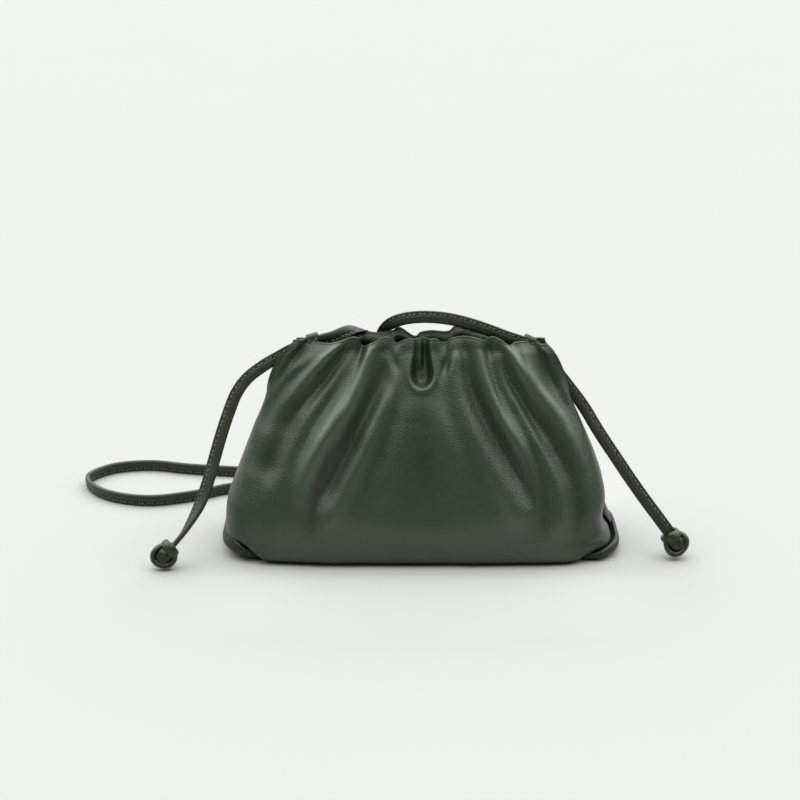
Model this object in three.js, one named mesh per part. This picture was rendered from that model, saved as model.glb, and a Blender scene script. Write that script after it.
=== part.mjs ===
// A small gathered pouch bag of soft leather, with one long narrow strap that runs through two keepers
// inside the mouth, leaves by the open side notches and ends in a knot at each side of the bag.
// Millimetres, +Z up. The origin is on the floor under the middle of the bag, and the front faces -Y.
import * as THREE from "three";

// Driving sizes of the bag's body
const BAG_WIDTH = 238;
const BAG_DEPTH = 94;
const RIM_HEIGHT = 126;
const MOUTH_WIDTH = 147;
const MOUTH_DEPTH = 18;
const LEATHER = 1.8;
const PIECE_GAP = 0.3;
const BASE_GAP = 0.45;
const FOLD_HEIGHT = 3.4;
const BACK_FOLD_HEIGHT = 2.4;
const RIM_WAVE = 1;
const STRAP_DIP = 3.5;

// Sides: the seam turned in between the two panels, and the open notch above it
const SIDE_TUCK = 9;
const SIDE_ROUND = 6;
const NOTCH_GAP = 9.2;
const NOTCH_FOOT = 78;
const NOTCH_TOP = 99;

// Base: a shallow tray of one piece, with its ends turned up
const BASE_THICKNESS = 2;
const BASE_LIP = 0.9;
const BASE_END_RISE = 10;
const BASE_BULGE = 1.6;
const BASE_EDGE_ROUND = 2.2;

// Strap, keepers and knots
const STRAP_WIDTH = 7.4;
const STRAP_THICKNESS = 3;
const KEEPER_LENGTH = 7;
const KEEPER_LEATHER = 1.2;
const KEEPER_CLEARANCE = 0.6;
const KEEPER_X = 63.5;
const LEFT_KEEPER = { side: -1, belowRim: 1, slope: 0.28 };
const RIGHT_KEEPER = { side: 1, belowRim: 2.2, slope: 0.42 };
const LEFT_KNOT = { width: 17, depth: 15, height: 14.8 };
const RIGHT_KNOT = { width: 14.4, depth: 15, height: 17.4 };

// Upright sections of the body. Heights are shares of the rim height. Width and depth are 0 at the mouth's
// size and 1 at the full size. Square is the exponent of the rounded oblong. Tuck is a share of the side
// tuck, and turn is how far the panel's edge has turned in: 0 is a free edge, 1 is a turned seam.
const SECTIONS = [
  { height: 0.00, front: 0.96, back: 0.98, depth: 0.93, square: 4.4, tuck: 0.02, turn: 1 },
  { height: 0.07, front: 0.99, back: 1.00, depth: 0.99, square: 4.2, tuck: 0.10, turn: 1 },
  { height: 0.16, front: 0.93, back: 1.00, depth: 1.00, square: 4.0, tuck: 0.70, turn: 1 },
  { height: 0.26, front: 0.89, back: 0.93, depth: 0.98, square: 3.8, tuck: 1.00, turn: 1 },
  { height: 0.36, front: 0.81, back: 0.82, depth: 0.92, square: 3.5, tuck: 1.00, turn: 1 },
  { height: 0.48, front: 0.68, back: 0.68, depth: 0.82, square: 3.2, tuck: 1.00, turn: 1 },
  { height: 0.60, front: 0.54, back: 0.54, depth: 0.68, square: 3.0, tuck: 0.90, turn: 0.9 },
  { height: 0.72, front: 0.43, back: 0.43, depth: 0.51, square: 2.8, tuck: 0.70, turn: 0.4 },
  { height: 0.84, front: 0.31, back: 0.31, depth: 0.30, square: 2.7, tuck: 0.40, turn: 0 },
  { height: 0.94, front: 0.15, back: 0.15, depth: 0.12, square: 2.6, tuck: 0.20, turn: 0 },
  { height: 1.00, front: 0.00, back: 0.00, depth: 0.00, square: 2.6, tuck: 0.10, turn: 0 },
];

// Gathers of the front panel, from its left end to its right end. Each row is one ridge or valley line that
// fans out from the rim: where it lies at the fold levels, as a share of the half width there, and how far
// it stands out there, as a share of the fold height.
const FOLD_LEVELS = [1.0, 0.85, 0.65, 0.45, 0.25, 0.08];
const FRONT_FOLDS = [
  { at: [-0.86, -0.93, -0.975, -0.985, -0.985, -0.985], rise: [0.0, 0.15, 0.1, 0.0, 0.0, 0] },
  { at: [-0.78, -0.885, -0.955, -0.970, -0.970, -0.970], rise: [-0.3, -0.35, -0.1, 0.0, 0.0, 0] },
  { at: [-0.71, -0.840, -0.930, -0.950, -0.955, -0.960], rise: [0.5, 0.6, 0.4, 0.2, 0.0, 0] },
  { at: [-0.62, -0.730, -0.865, -0.900, -0.920, -0.930], rise: [-0.6, -0.6, -0.4, -0.1, 0.0, 0] },
  { at: [-0.56, -0.620, -0.790, -0.830, -0.850, -0.860], rise: [0.5, 0.7, 0.6, 0.5, 0.1, 0] },
  { at: [-0.50, -0.550, -0.700, -0.740, -0.740, -0.760], rise: [-0.5, -0.6, -0.4, -0.2, -0.1, 0] },
  { at: [-0.44, -0.485, -0.590, -0.645, -0.570, -0.600], rise: [0.7, 0.9, 0.9, 0.8, 0.5, 0] },
  { at: [-0.345, -0.370, -0.445, -0.525, -0.530, -0.545], rise: [-0.9, -1.0, -1.0, -0.8, 0.1, 0] },
  { at: [-0.25, -0.180, -0.295, -0.410, -0.480, -0.500], rise: [0.9, 1.0, 1.0, 0.9, 0.5, 0] },
  { at: [-0.17, -0.130, -0.240, -0.350, -0.430, -0.450], rise: [-0.8, -0.7, -0.5, -0.4, -0.1, 0] },
  { at: [-0.09, -0.085, -0.170, -0.260, -0.350, -0.380], rise: [0.9, 1.0, 0.6, 0.4, 0.1, 0] },
  { at: [0.01, 0.010, 0.015, 0.020, 0.020, 0.020], rise: [-1.0, -1.0, 0.1, 0.1, 0.0, 0] },
  { at: [0.11, 0.105, 0.200, 0.310, 0.400, 0.420], rise: [0.9, 1.0, 0.6, 0.4, 0.1, 0] },
  { at: [0.20, 0.190, 0.290, 0.410, 0.480, 0.490], rise: [-0.8, -0.8, -0.6, -0.5, -0.2, 0] },
  { at: [0.29, 0.300, 0.350, 0.470, 0.535, 0.545], rise: [0.9, 1.0, 0.9, 0.8, 0.5, 0] },
  { at: [0.41, 0.415, 0.450, 0.545, 0.570, 0.580], rise: [-0.8, -1.0, -1.0, -0.8, 0.1, 0] },
  { at: [0.50, 0.505, 0.560, 0.615, 0.605, 0.615], rise: [0.7, 0.8, 0.9, 0.8, 0.5, 0] },
  { at: [0.565, 0.560, 0.620, 0.685, 0.690, 0.700], rise: [-0.5, -0.6, -0.5, -0.5, -0.3, 0] },
  { at: [0.62, 0.605, 0.690, 0.760, 0.780, 0.785], rise: [0.6, 0.7, 0.6, 0.7, 0.6, 0] },
  { at: [0.67, 0.670, 0.800, 0.855, 0.865, 0.875], rise: [-0.7, -0.9, -0.9, -0.6, -0.3, 0] },
  { at: [0.74, 0.810, 0.920, 0.935, 0.930, 0.935], rise: [0.5, 0.5, 0.5, 0.4, 0.3, 0] },
  { at: [0.84, 0.910, 0.965, 0.975, 0.975, 0.975], rise: [-0.2, -0.2, 0.0, 0.0, 0.0, 0] },
];

// Gathers of the back panel, wider and softer, with a valley where the strap comes down.
const BACK_FOLDS = [
  { at: [-0.80, -0.86, -0.92, -0.94, -0.95, -0.95], rise: [0.0, 0.1, 0.1, 0.0, 0.0, 0] },
  { at: [-0.66, -0.70, -0.78, -0.84, -0.86, -0.87], rise: [0.0, 0.8, 0.7, 0.3, 0.0, 0] },
  { at: [-0.54, -0.55, -0.62, -0.68, -0.72, -0.74], rise: [-0.6, -0.7, -0.5, -0.2, 0.0, 0] },
  { at: [-0.49, -0.47, -0.50, -0.54, -0.58, -0.60], rise: [0.0, 0.4, 0.6, 0.4, 0.1, 0] },
  { at: [-0.38, -0.34, -0.31, -0.29, -0.27, -0.26], rise: [-1.0, -1.0, -0.9, -0.7, -0.3, 0] },
  { at: [-0.20, -0.17, -0.14, -0.10, -0.06, -0.04], rise: [0.5, 0.6, 0.6, 0.4, 0.1, 0] },
  { at: [-0.04, -0.02, 0.02, 0.06, 0.10, 0.10], rise: [-0.9, -0.8, -0.4, -0.1, 0.0, 0] },
  { at: [0.10, 0.12, 0.17, 0.22, 0.26, 0.28], rise: [0.8, 0.9, 0.7, 0.4, 0.1, 0] },
  { at: [0.22, 0.25, 0.31, 0.37, 0.42, 0.44], rise: [-0.8, -0.9, -0.6, -0.3, 0.0, 0] },
  { at: [0.34, 0.38, 0.46, 0.53, 0.58, 0.60], rise: [0.8, 0.9, 0.8, 0.4, 0.1, 0] },
  { at: [0.45, 0.50, 0.60, 0.67, 0.72, 0.74], rise: [-0.7, -0.8, -0.5, -0.2, 0.0, 0] },
  { at: [0.58, 0.66, 0.77, 0.83, 0.86, 0.87], rise: [0.0, 0.7, 0.6, 0.3, 0.0, 0] },
  { at: [0.80, 0.86, 0.92, 0.94, 0.95, 0.95], rise: [0.0, 0.0, 0.0, 0.0, 0.0, 0] },
];

// Strap routes. Each row is a point of the centre line and the direction of the strap's stitched edge there.
const SHOULDER_ROUTE = [
  [63.35, 0.2, 124, 0.32, 0, 0.95],
  [57, 0.3, 126.0, 0.32, 0, 0.95],
  [51, 1.0, 128.2, 0.3, 0, 0.95],
  [42, 2.4, 131.3, 0.28, 0, 0.96],
  [30, 3.6, 135.2, 0.2, 0, 0.98],
  [16, 4.8, 138.3, 0.1, 0, 1],
  [2, 5.6, 139.2, 0, 0.05, 1],
  [-9, 6.6, 137.9, -0.2, 0.1, 0.96],
  [-16.5, 9, 134.8, -0.5, 0.1, 0.8],
  [-21.5, 13.2, 129.6, -0.85, -0.3, 0.4],
  [-24, 18.2, 121.5, -1, -0.1, 0.1],
  [-25, 23.6, 110, -1, 0, 0],
  [-26, 30.4, 95, -1, 0, 0],
  [-27, 37.5, 78, -1, 0, 0],
  [-27, 44.6, 58, -1, 0, 0],
  [-26, 49.8, 38, -1, 0, -0.1],
  [-20, 53, 20, -0.9, 0, -0.35],
  [-6, 56, 7.5, -0.5, 0, -0.85],
  [14, 58, 4.2, 0, 0, -1],
  [40, 59, 4, 0, 0, -1],
  [66, 60, 4, 0, 0, -1],
  [86, 66, 4, 0, 0, -1],
  [94, 82, 4, 0, 0, -1],
  [84, 97, 4, 0, 0, -1],
  [62, 103, 4, 0, 0, -1],
  [30, 104, 4, 0, 0, -1],
  [-10, 103, 4, 0, 0, -1],
  [-50, 103, 4, 0, 0, -1],
  [-90, 105, 4, 0, 0, -1],
  [-122, 108, 4, 0, 0, -1],
  [-152, 113, 4, 0, 0, -1],
  [-180, 120, 4, 0, 0, -1],
  [-204, 113.5, 4, 0, 0, -1],
  [-217, 95, 4, 0, 0, -1],
  [-212, 77, 4, 0, 0, -1],
  [-196, 61, 4, 0, 0, -1],
  [-172, 54, 4, 0, 0, -1],
  [-146, 62, 4, 0, 0, -1],
  [-120, 77, 4, 0, 0, -1],
  [-92, 77, 4, 0, 0, -1],
  [-66, 66, 4.6, 0.1, 0, -1],
  [-47, 57.5, 10, 0.6, 0, -0.75],
  [-37.5, 53, 24, 0.95, 0, -0.35],
  [-35, 49.4, 42, 1, 0, -0.1],
  [-34.5, 44, 60, 1, 0, 0],
  [-34.5, 37.2, 79, 1, 0, 0],
  [-34, 30, 96, 1, 0, 0],
  [-33.5, 23.4, 110.5, 1, 0, 0],
  [-33, 18.2, 121, 1, -0.1, 0],
  [-34.5, 13, 128.6, 0.95, -0.3, 0.1],
  [-39, 8.2, 132.2, 0.6, -0.75, -0.25],
  [-45, 4.6, 132, 0.25, -0.45, -0.85],
  [-52, 1.1, 128.9, 0.3, -0.1, -0.95],
  [-58, 0.1, 126.7, 0.28, 0, -0.96],
  [-63.35, 0.2, 125.2, 0.28, 0, -0.96],
];
const LEFT_TAIL_ROUTE = [
  [-63.65, 0.2, 125.1, -0.28, 0, 0.96],
  [-70, 0.3, 123.3, -0.3, 0, 0.95],
  [-77, 0.2, 120.3, -0.45, 0, 0.9],
  [-84.5, -0.4, 116.2, -0.5, 0, 0.86],
  [-94.3, -4, 111.2, -0.55, 0, 0.84],
  [-103.1, -8, 105, -0.8, -0.1, 0.6],
  [-109, -11, 97.5, -0.9, 0.1, 0.4],
  [-113.6, -14.5, 87, -0.95, 0, 0.3],
  [-118, -19.5, 74.5, -0.97, 0, 0.25],
  [-122.6, -25.6, 59.3, -0.97, 0, 0.25],
  [-125.9, -31, 48.1, -0.95, 0.1, 0.3],
  [-130.6, -36, 36, -0.8, 0.45, 0.3],
  [-137.2, -41, 24.9, -0.6, 0.65, 0.45],
  [-142.6, -44.2, 17.4, -0.5, 0.7, 0.5],
  [-146.8, -46, 12.7, -0.5, 0.7, 0.5],
];
const RIGHT_TAIL_ROUTE = [
  [63.9, 0.2, 123.7, 0.33, 0, 0.95],
  [69, 0.2, 121.7, 0.4, 0, 0.92],
  [76, 0.2, 115.2, 0.72, 0, 0.68],
  [82.5, 0.3, 105.6, 0.8, 0, 0.6],
  [89.1, 0.2, 97, 0.8, 0, 0.58],
  [97.6, -2.6, 86, 0.83, 0, 0.55],
  [106.6, -9, 72.2, 0.83, 0, 0.55],
  [116.2, -14.6, 58.6, 0.82, 0, 0.57],
  [125.8, -19, 45, 0.8, 0, 0.58],
  [135.4, -23.6, 32.2, 0.8, 0, 0.6],
  [142.5, -26.6, 23.2, 0.8, 0, 0.6],
  [148.9, -29.5, 14.9, 0.8, 0, 0.6],
];
const LEFT_KNOT_PLACE = [-151.6, -48];
const RIGHT_KNOT_PLACE = [153.2, -31.2];
const SHOULDER_STEPS = 60;
const TAIL_STEPS = 11;

// Mesh fineness
const PANEL_ROWS = 17;
const CORNER_COLUMNS = 3;
const TUCK_COLUMNS = 4;
const BASE_SPOKES = 48;
const KNOT_SIDES = 16;
const KNOT_RINGS = 10;

// A smooth curve through evenly ordered values, at a place between the given stations.
function smoothAt(stations, values, place) {
  const rising = stations[0] < stations[stations.length - 1];
  const order = rising ? stations.map((_, i) => i) : stations.map((_, i) => stations.length - 1 - i);
  const xs = order.map((i) => stations[i]);
  const ys = order.map((i) => values[i]);
  const x = THREE.MathUtils.clamp(place, xs[0], xs[xs.length - 1]);
  let k = 0;
  while (k < xs.length - 2 && x > xs[k + 1]) k += 1;
  const slope = (i) => {
    const before = Math.max(i - 1, 0);
    const after = Math.min(i + 1, xs.length - 1);
    return (ys[after] - ys[before]) / (xs[after] - xs[before]);
  };
  const span = xs[k + 1] - xs[k];
  const t = (x - xs[k]) / span;
  const rest = 1 - t;
  const startPart = rest * rest * ((1 + 2 * t) * ys[k] + t * span * slope(k));
  const endPart = t * t * ((1 + 2 * rest) * ys[k + 1] - rest * span * slope(k + 1));
  return startPart + endPart;
}

// The body's half sizes at a height, for the front or the back panel.
function sectionAt(z, side) {
  const share = z / RIM_HEIGHT;
  const levels = SECTIONS.map((row) => row.height);
  const read = (name) => smoothAt(levels, SECTIONS.map((row) => row[name]), share);
  const open = THREE.MathUtils.smoothstep(z, NOTCH_FOOT, NOTCH_TOP);
  const edge = THREE.MathUtils.lerp(PIECE_GAP, NOTCH_GAP, open) / 2;
  return {
    halfWidth: (MOUTH_WIDTH + (BAG_WIDTH - MOUTH_WIDTH) * read(side)) / 2,
    halfDepth: (MOUTH_DEPTH + (BAG_DEPTH - MOUTH_DEPTH) * read("depth")) / 2,
    square: read("square"),
    tuck: SIDE_TUCK * read("tuck"),
    turn: THREE.MathUtils.clamp(read("turn"), 0, 1),
    edge,
  };
}

// How high the tray's wall stands at a share of the half width, and so where a panel's lower edge begins.
const END_RISE_START = 0.62;
function baseTopAt(share) {
  const ramp = THREE.MathUtils.smoothstep(Math.abs(share), END_RISE_START, 1);
  return BASE_THICKNESS + BASE_LIP + BASE_END_RISE * ramp;
}

// One column of a panel is a place along its section: share runs over the face of the panel to its corner,
// and tuck runs from the corner, 0, to the edge of the turned-in seam, 1.
const FREE_FACE = 0.95;
const FREE_CURVE = 3;
function sectionPoint(column, z, side) {
  const s = sectionAt(z, side);
  const sign = Math.sign(column.share) || 1;
  const share = Math.abs(column.share);
  const round = Math.min(SIDE_ROUND, s.halfDepth / 2);
  const freeShare = share * FREE_FACE + column.tuck * (1 - FREE_FACE);
  const free = {
    x: s.halfWidth * freeShare,
    y: s.edge + (s.halfDepth - s.edge) * (1 - freeShare ** FREE_CURVE),
  };
  const angle = (column.tuck * Math.PI) / 2;
  const corner = s.edge + round;
  const turned = column.tuck > 0
    ? { x: s.halfWidth - s.tuck * (1 - Math.cos(angle)), y: corner - round * Math.sin(angle) }
    : { x: s.halfWidth * share,
        y: corner + (s.halfDepth - corner) * Math.max(1 - share ** s.square, 0) ** (1 / s.square) };
  const x = THREE.MathUtils.lerp(free.x, turned.x, s.turn);
  const y = THREE.MathUtils.lerp(free.y, turned.y, s.turn);
  return new THREE.Vector3(sign * x, side === "front" ? -y : y, z);
}

// The columns of a panel at a height: each fold line, the places between two lines, the corner and the tuck.
function columnsAt(folds, share) {
  const lines = folds.map((fold) => ({
    share: smoothAt(FOLD_LEVELS, fold.at, share),
    rise: smoothAt(FOLD_LEVELS, fold.rise, share),
    tuck: 0,
  }));
  const end = (sign) => {
    const columns = [];
    const last = sign < 0 ? lines[0] : lines[lines.length - 1];
    const startAngle = Math.asin(last.share ** 2);
    for (let i = 1; i <= CORNER_COLUMNS; i += 1) {
      const angle = THREE.MathUtils.lerp(startAngle, Math.PI / 2, i / CORNER_COLUMNS);
      const rise = last.rise * (1 - i / CORNER_COLUMNS);
      columns.push({ share: sign * Math.sqrt(Math.sin(angle)), rise, tuck: 0 });
    }
    for (let i = 1; i <= TUCK_COLUMNS; i += 1) columns.push({ share: sign, rise: 0, tuck: i / TUCK_COLUMNS });
    return columns;
  };
  const columns = end(-1).reverse();
  lines.forEach((line, i) => {
    columns.push(line);
    const next = lines[i + 1];
    if (!next) return;
    const between = { share: (line.share + next.share) / 2, rise: (line.rise + next.rise) / 2, tuck: 0 };
    columns.push(between);
  });
  return [...columns, ...end(1)];
}

// A closed wall between an outer and an inner grid of points, which are lists of columns.
function closedWall(outer, inner) {
  const columns = outer.length;
  const rows = outer[0].length;
  const points = [...outer.flat(), ...inner.flat()];
  const outerAt = (i, j) => i * rows + j;
  const innerAt = (i, j) => columns * rows + i * rows + j;
  const index = [];
  const quad = (a, b, c, d) => index.push(a, b, c, a, c, d);
  for (let i = 0; i < columns - 1; i += 1) {
    for (let j = 0; j < rows - 1; j += 1) {
      quad(outerAt(i, j), outerAt(i + 1, j), outerAt(i + 1, j + 1), outerAt(i, j + 1));
      quad(innerAt(i, j), innerAt(i, j + 1), innerAt(i + 1, j + 1), innerAt(i + 1, j));
    }
    quad(outerAt(i, 0), innerAt(i, 0), innerAt(i + 1, 0), outerAt(i + 1, 0));
    quad(outerAt(i, rows - 1), outerAt(i + 1, rows - 1), innerAt(i + 1, rows - 1), innerAt(i, rows - 1));
  }
  const end = columns - 1;
  for (let j = 0; j < rows - 1; j += 1) {
    quad(outerAt(0, j), outerAt(0, j + 1), innerAt(0, j + 1), innerAt(0, j));
    quad(outerAt(end, j), innerAt(end, j), innerAt(end, j + 1), outerAt(end, j + 1));
  }
  return geometryOf(points, index);
}

function geometryOf(points, index) {
  const geometry = new THREE.BufferGeometry().setFromPoints(points);
  geometry.setIndex(index);
  geometry.computeVertexNormals();
  return geometry;
}

// A gathered panel: the smooth section surface, raised along its own normal by the folds.
function panelGeometry(folds, side) {
  const foldHeight = side === "front" ? FOLD_HEIGHT : BACK_FOLD_HEIGHT;
  const rows = [];
  for (let j = 0; j < PANEL_ROWS; j += 1) {
    const up = j / (PANEL_ROWS - 1);
    const columns = columnsAt(folds, up).map((column) => {
      const foot = baseTopAt(column.share) + BASE_GAP;
      const rim = RIM_HEIGHT + RIM_WAVE * column.rise - rimDipAt(column.share, side);
      const z = THREE.MathUtils.lerp(foot, rim, up);
      return { ...column, z, smooth: sectionPoint(column, Math.min(z, RIM_HEIGHT), side).setZ(z) };
    });
    rows.push(columns);
  }
  const count = rows[0].length;
  const outer = [];
  const inner = [];
  for (let i = 0; i < count; i += 1) {
    outer.push([]);
    inner.push([]);
    for (let j = 0; j < PANEL_ROWS; j += 1) {
      const here = rows[j][i];
      const along = rows[j][Math.min(i + 1, count - 1)].smooth.clone()
        .sub(rows[j][Math.max(i - 1, 0)].smooth);
      const upward = rows[Math.min(j + 1, PANEL_ROWS - 1)][i].smooth.clone()
        .sub(rows[Math.max(j - 1, 0)][i].smooth);
      const normal = along.cross(upward).normalize();
      if (side === "back") normal.negate();
      const raised = here.smooth.clone().addScaledVector(normal, foldHeight * here.rise);
      outer[i].push(raised);
      inner[i].push(raised.clone().addScaledVector(normal, -LEATHER));
    }
  }
  return side === "front" ? closedWall(outer, inner) : closedWall(outer.reverse(), inner.reverse());
}

// The back rim is pressed down where the strap goes over it.
const DIP_SHARE = -0.385;
const DIP_HALF_SPAN = 0.22;
function rimDipAt(share, side) {
  if (side === "front") return 0;
  const away = Math.min(Math.abs(share - DIP_SHARE) / DIP_HALF_SPAN, 1);
  return (STRAP_DIP * (1 + Math.cos(away * Math.PI))) / 2;
}

// The tray's wall is fullest at the bend share of its height, and its flat middle is drawn as one inner ring.
const BEND_SHARE = 0.45;
const MIDDLE_SHARE = 0.25;

// The base tray: rings of points from the middle of the underside, out, up over the lip and back in.
function baseGeometry() {
  const ring = (inset, heightOf) => {
    const points = [];
    for (let k = 0; k < BASE_SPOKES; k += 1) {
      const angle = (k / BASE_SPOKES) * Math.PI * 2;
      const across = Math.cos(angle);
      const deep = Math.sin(angle);
      const share = Math.sign(across) * Math.sqrt(Math.abs(across));
      const z = heightOf(share);
      const s = sectionAt(z, "back");
      const bulge = BASE_BULGE * THREE.MathUtils.smoothstep(Math.abs(share), END_RISE_START, 1) - inset;
      const x = share * (s.halfWidth + bulge);
      const y = Math.sign(deep) * Math.sqrt(Math.abs(deep)) * (s.halfDepth + bulge);
      points.push(new THREE.Vector3(x, y, z));
    }
    return points;
  };
  const flat = () => 0;
  const floorTop = () => BASE_THICKNESS;
  const bend = (share) => baseTopAt(share) * BEND_SHARE;
  const rings = [
    ring(BAG_DEPTH * MIDDLE_SHARE, flat),
    ring(BASE_EDGE_ROUND, flat),
    ring(0, bend),
    ring(0, baseTopAt),
    ring(BASE_THICKNESS, baseTopAt),
    ring(BASE_THICKNESS + BASE_EDGE_ROUND / 2, floorTop),
    ring(BAG_DEPTH * MIDDLE_SHARE, floorTop),
  ];
  const points = [new THREE.Vector3(0, 0, 0), ...rings.flat(), new THREE.Vector3(0, 0, BASE_THICKNESS)];
  const at = (r, k) => 1 + r * BASE_SPOKES + (k % BASE_SPOKES);
  const top = points.length - 1;
  const index = [];
  for (let k = 0; k < BASE_SPOKES; k += 1) {
    index.push(0, at(0, k + 1), at(0, k));
    for (let r = 0; r < rings.length - 1; r += 1) {
      index.push(at(r, k), at(r, k + 1), at(r + 1, k + 1), at(r, k), at(r + 1, k + 1), at(r + 1, k));
    }
    index.push(top, at(rings.length - 1, k), at(rings.length - 1, k + 1));
  }
  return geometryOf(points, index);
}

// A strap's centre line, with its flat section turned so that its stitched edge faces as the route says.
class StrapPath extends THREE.CatmullRomCurve3 {
  constructor(route) {
    super(route.map(([x, y, z]) => new THREE.Vector3(x, y, z)), false, "centripetal");
    this.edges = route.map((row) => new THREE.Vector3(row[3], row[4], row[5]));
  }

  computeFrenetFrames(steps) {
    const frames = { tangents: [], normals: [], binormals: [] };
    for (let i = 0; i <= steps; i += 1) {
      const t = this.getUtoTmapping(i / steps);
      const place = t * (this.edges.length - 1);
      const before = Math.min(Math.floor(place), this.edges.length - 2);
      const tangent = this.getTangent(t);
      const edge = this.edges[before].clone().lerp(this.edges[before + 1], place - before);
      const normal = edge.addScaledVector(tangent, -edge.dot(tangent)).normalize();
      frames.tangents.push(tangent);
      frames.normals.push(normal);
      frames.binormals.push(tangent.clone().cross(normal));
    }
    return frames;
  }
}

const EDGE_FLAT = 0.55;
const FACE_FLAT = 0.8;
function strapGeometry(route, steps) {
  const w = STRAP_WIDTH / 2;
  const t = STRAP_THICKNESS / 2;
  const section = new THREE.Shape([
    [w, -t * EDGE_FLAT], [w, t * EDGE_FLAT], [w * FACE_FLAT, t], [-w * FACE_FLAT, t],
    [-w, t * EDGE_FLAT], [-w, -t * EDGE_FLAT], [-w * FACE_FLAT, -t], [w * FACE_FLAT, -t],
  ].map(([x, y]) => new THREE.Vector2(x, y)));
  return new THREE.ExtrudeGeometry(section, { steps, extrudePath: new StrapPath(route) });
}

// A keeper is a short loop of leather round the strap, drawn as its section and extruded along the strap.
function roundedOblong(shape, halfHeight, halfDepth, radius) {
  shape.moveTo(halfHeight - radius, -halfDepth);
  shape.absarc(halfHeight - radius, -halfDepth + radius, radius, -Math.PI / 2, 0, false);
  shape.absarc(halfHeight - radius, halfDepth - radius, radius, 0, Math.PI / 2, false);
  shape.absarc(-halfHeight + radius, halfDepth - radius, radius, Math.PI / 2, Math.PI, false);
  shape.absarc(-halfHeight + radius, -halfDepth + radius, radius, Math.PI, Math.PI * 1.5, false);
  shape.closePath();
  return shape;
}

const KEEPER_HALF_HEIGHT = STRAP_WIDTH / 2 + KEEPER_CLEARANCE + KEEPER_LEATHER;
const KEEPER_HALF_DEPTH = STRAP_THICKNESS / 2 + KEEPER_CLEARANCE + KEEPER_LEATHER;
const KEEPER_ARC_STEPS = 3;
function keeperGeometry() {
  const shape = roundedOblong(new THREE.Shape(), KEEPER_HALF_HEIGHT, KEEPER_HALF_DEPTH, KEEPER_LEATHER * 1.5);
  shape.holes.push(roundedOblong(
    new THREE.Path(), KEEPER_HALF_HEIGHT - KEEPER_LEATHER, KEEPER_HALF_DEPTH - KEEPER_LEATHER,
    KEEPER_LEATHER / 2));
  const options = { depth: KEEPER_LENGTH, bevelEnabled: false, curveSegments: KEEPER_ARC_STEPS };
  const geometry = new THREE.ExtrudeGeometry(shape, options);
  geometry.translate(0, 0, -KEEPER_LENGTH / 2);
  geometry.rotateY(Math.PI / 2);
  return geometry;
}

// A knot is a tight lump of crossing turns of the strap.
const TURN_RELIEF = 0.07;
const TURNS_ROUND = 3;
const TURNS_DOWN = 2;
function knotGeometry(size) {
  const geometry = new THREE.SphereGeometry(1, KNOT_SIDES, KNOT_RINGS);
  geometry.rotateX(Math.PI / 2);
  const place = geometry.getAttribute("position");
  for (let i = 0; i < place.count; i += 1) {
    const p = new THREE.Vector3().fromBufferAttribute(place, i);
    const round = Math.atan2(p.y, p.x);
    const down = Math.asin(THREE.MathUtils.clamp(p.z, -1, 1));
    const ridge = Math.cos(TURNS_ROUND * round + TURNS_DOWN * down) * Math.cos(down) ** 2;
    p.multiplyScalar((1 + TURN_RELIEF * ridge) / (1 + TURN_RELIEF));
    place.setXYZ(i, (p.x * size.width) / 2, (p.y * size.depth) / 2, (p.z * size.height) / 2);
  }
  geometry.deleteAttribute("normal");
  geometry.deleteAttribute("uv");
  return geometry;
}

// Finishes
const greenLeather = { color: 0x2f3b31, roughness: 0.42, metalness: 0 };
const edgeLeather = { color: 0x2a352c, roughness: 0.5, metalness: 0 };

function piece(name, geometry, finish) {
  const mesh = new THREE.Mesh(geometry, new THREE.MeshStandardMaterial(finish));
  mesh.name = name;
  return mesh;
}

const bag = new THREE.Group();
bag.add(piece("front_panel", panelGeometry(FRONT_FOLDS, "front"), greenLeather));
bag.add(piece("back_panel", panelGeometry(BACK_FOLDS, "back"), greenLeather));
bag.add(piece("base", baseGeometry(), greenLeather));

// The keepers are sewn to the back panel just inside its rim.
const keeperEnd = (KEEPER_X + KEEPER_LENGTH / 2) / (MOUTH_WIDTH / 2);
const rimSection = sectionPoint({ share: keeperEnd / FREE_FACE, tuck: 0 }, RIM_HEIGHT, "back");
const keeperY = rimSection.y - LEATHER - PIECE_GAP - KEEPER_HALF_DEPTH;
const keepers = [
  { name: "left_keeper", ...LEFT_KEEPER },
  { name: "right_keeper", ...RIGHT_KEEPER },
];
for (const { name, side, belowRim, slope } of keepers) {
  const keeper = piece(name, keeperGeometry(), edgeLeather);
  keeper.position.set(side * KEEPER_X, keeperY, RIM_HEIGHT - belowRim);
  keeper.rotation.y = side * slope;
  bag.add(keeper);
}

bag.add(piece("shoulder_strap", strapGeometry(SHOULDER_ROUTE, SHOULDER_STEPS), edgeLeather));
bag.add(piece("left_tail", strapGeometry(LEFT_TAIL_ROUTE, TAIL_STEPS), edgeLeather));
bag.add(piece("right_tail", strapGeometry(RIGHT_TAIL_ROUTE, TAIL_STEPS), edgeLeather));

const knots = [
  { name: "left_knot", size: LEFT_KNOT, place: LEFT_KNOT_PLACE },
  { name: "right_knot", size: RIGHT_KNOT, place: RIGHT_KNOT_PLACE },
];
for (const { name, size, place } of knots) {
  const knot = piece(name, knotGeometry(size), edgeLeather);
  knot.position.set(place[0], place[1], size.height / 2);
  bag.add(knot);
}

export default bag;
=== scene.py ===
import math

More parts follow.
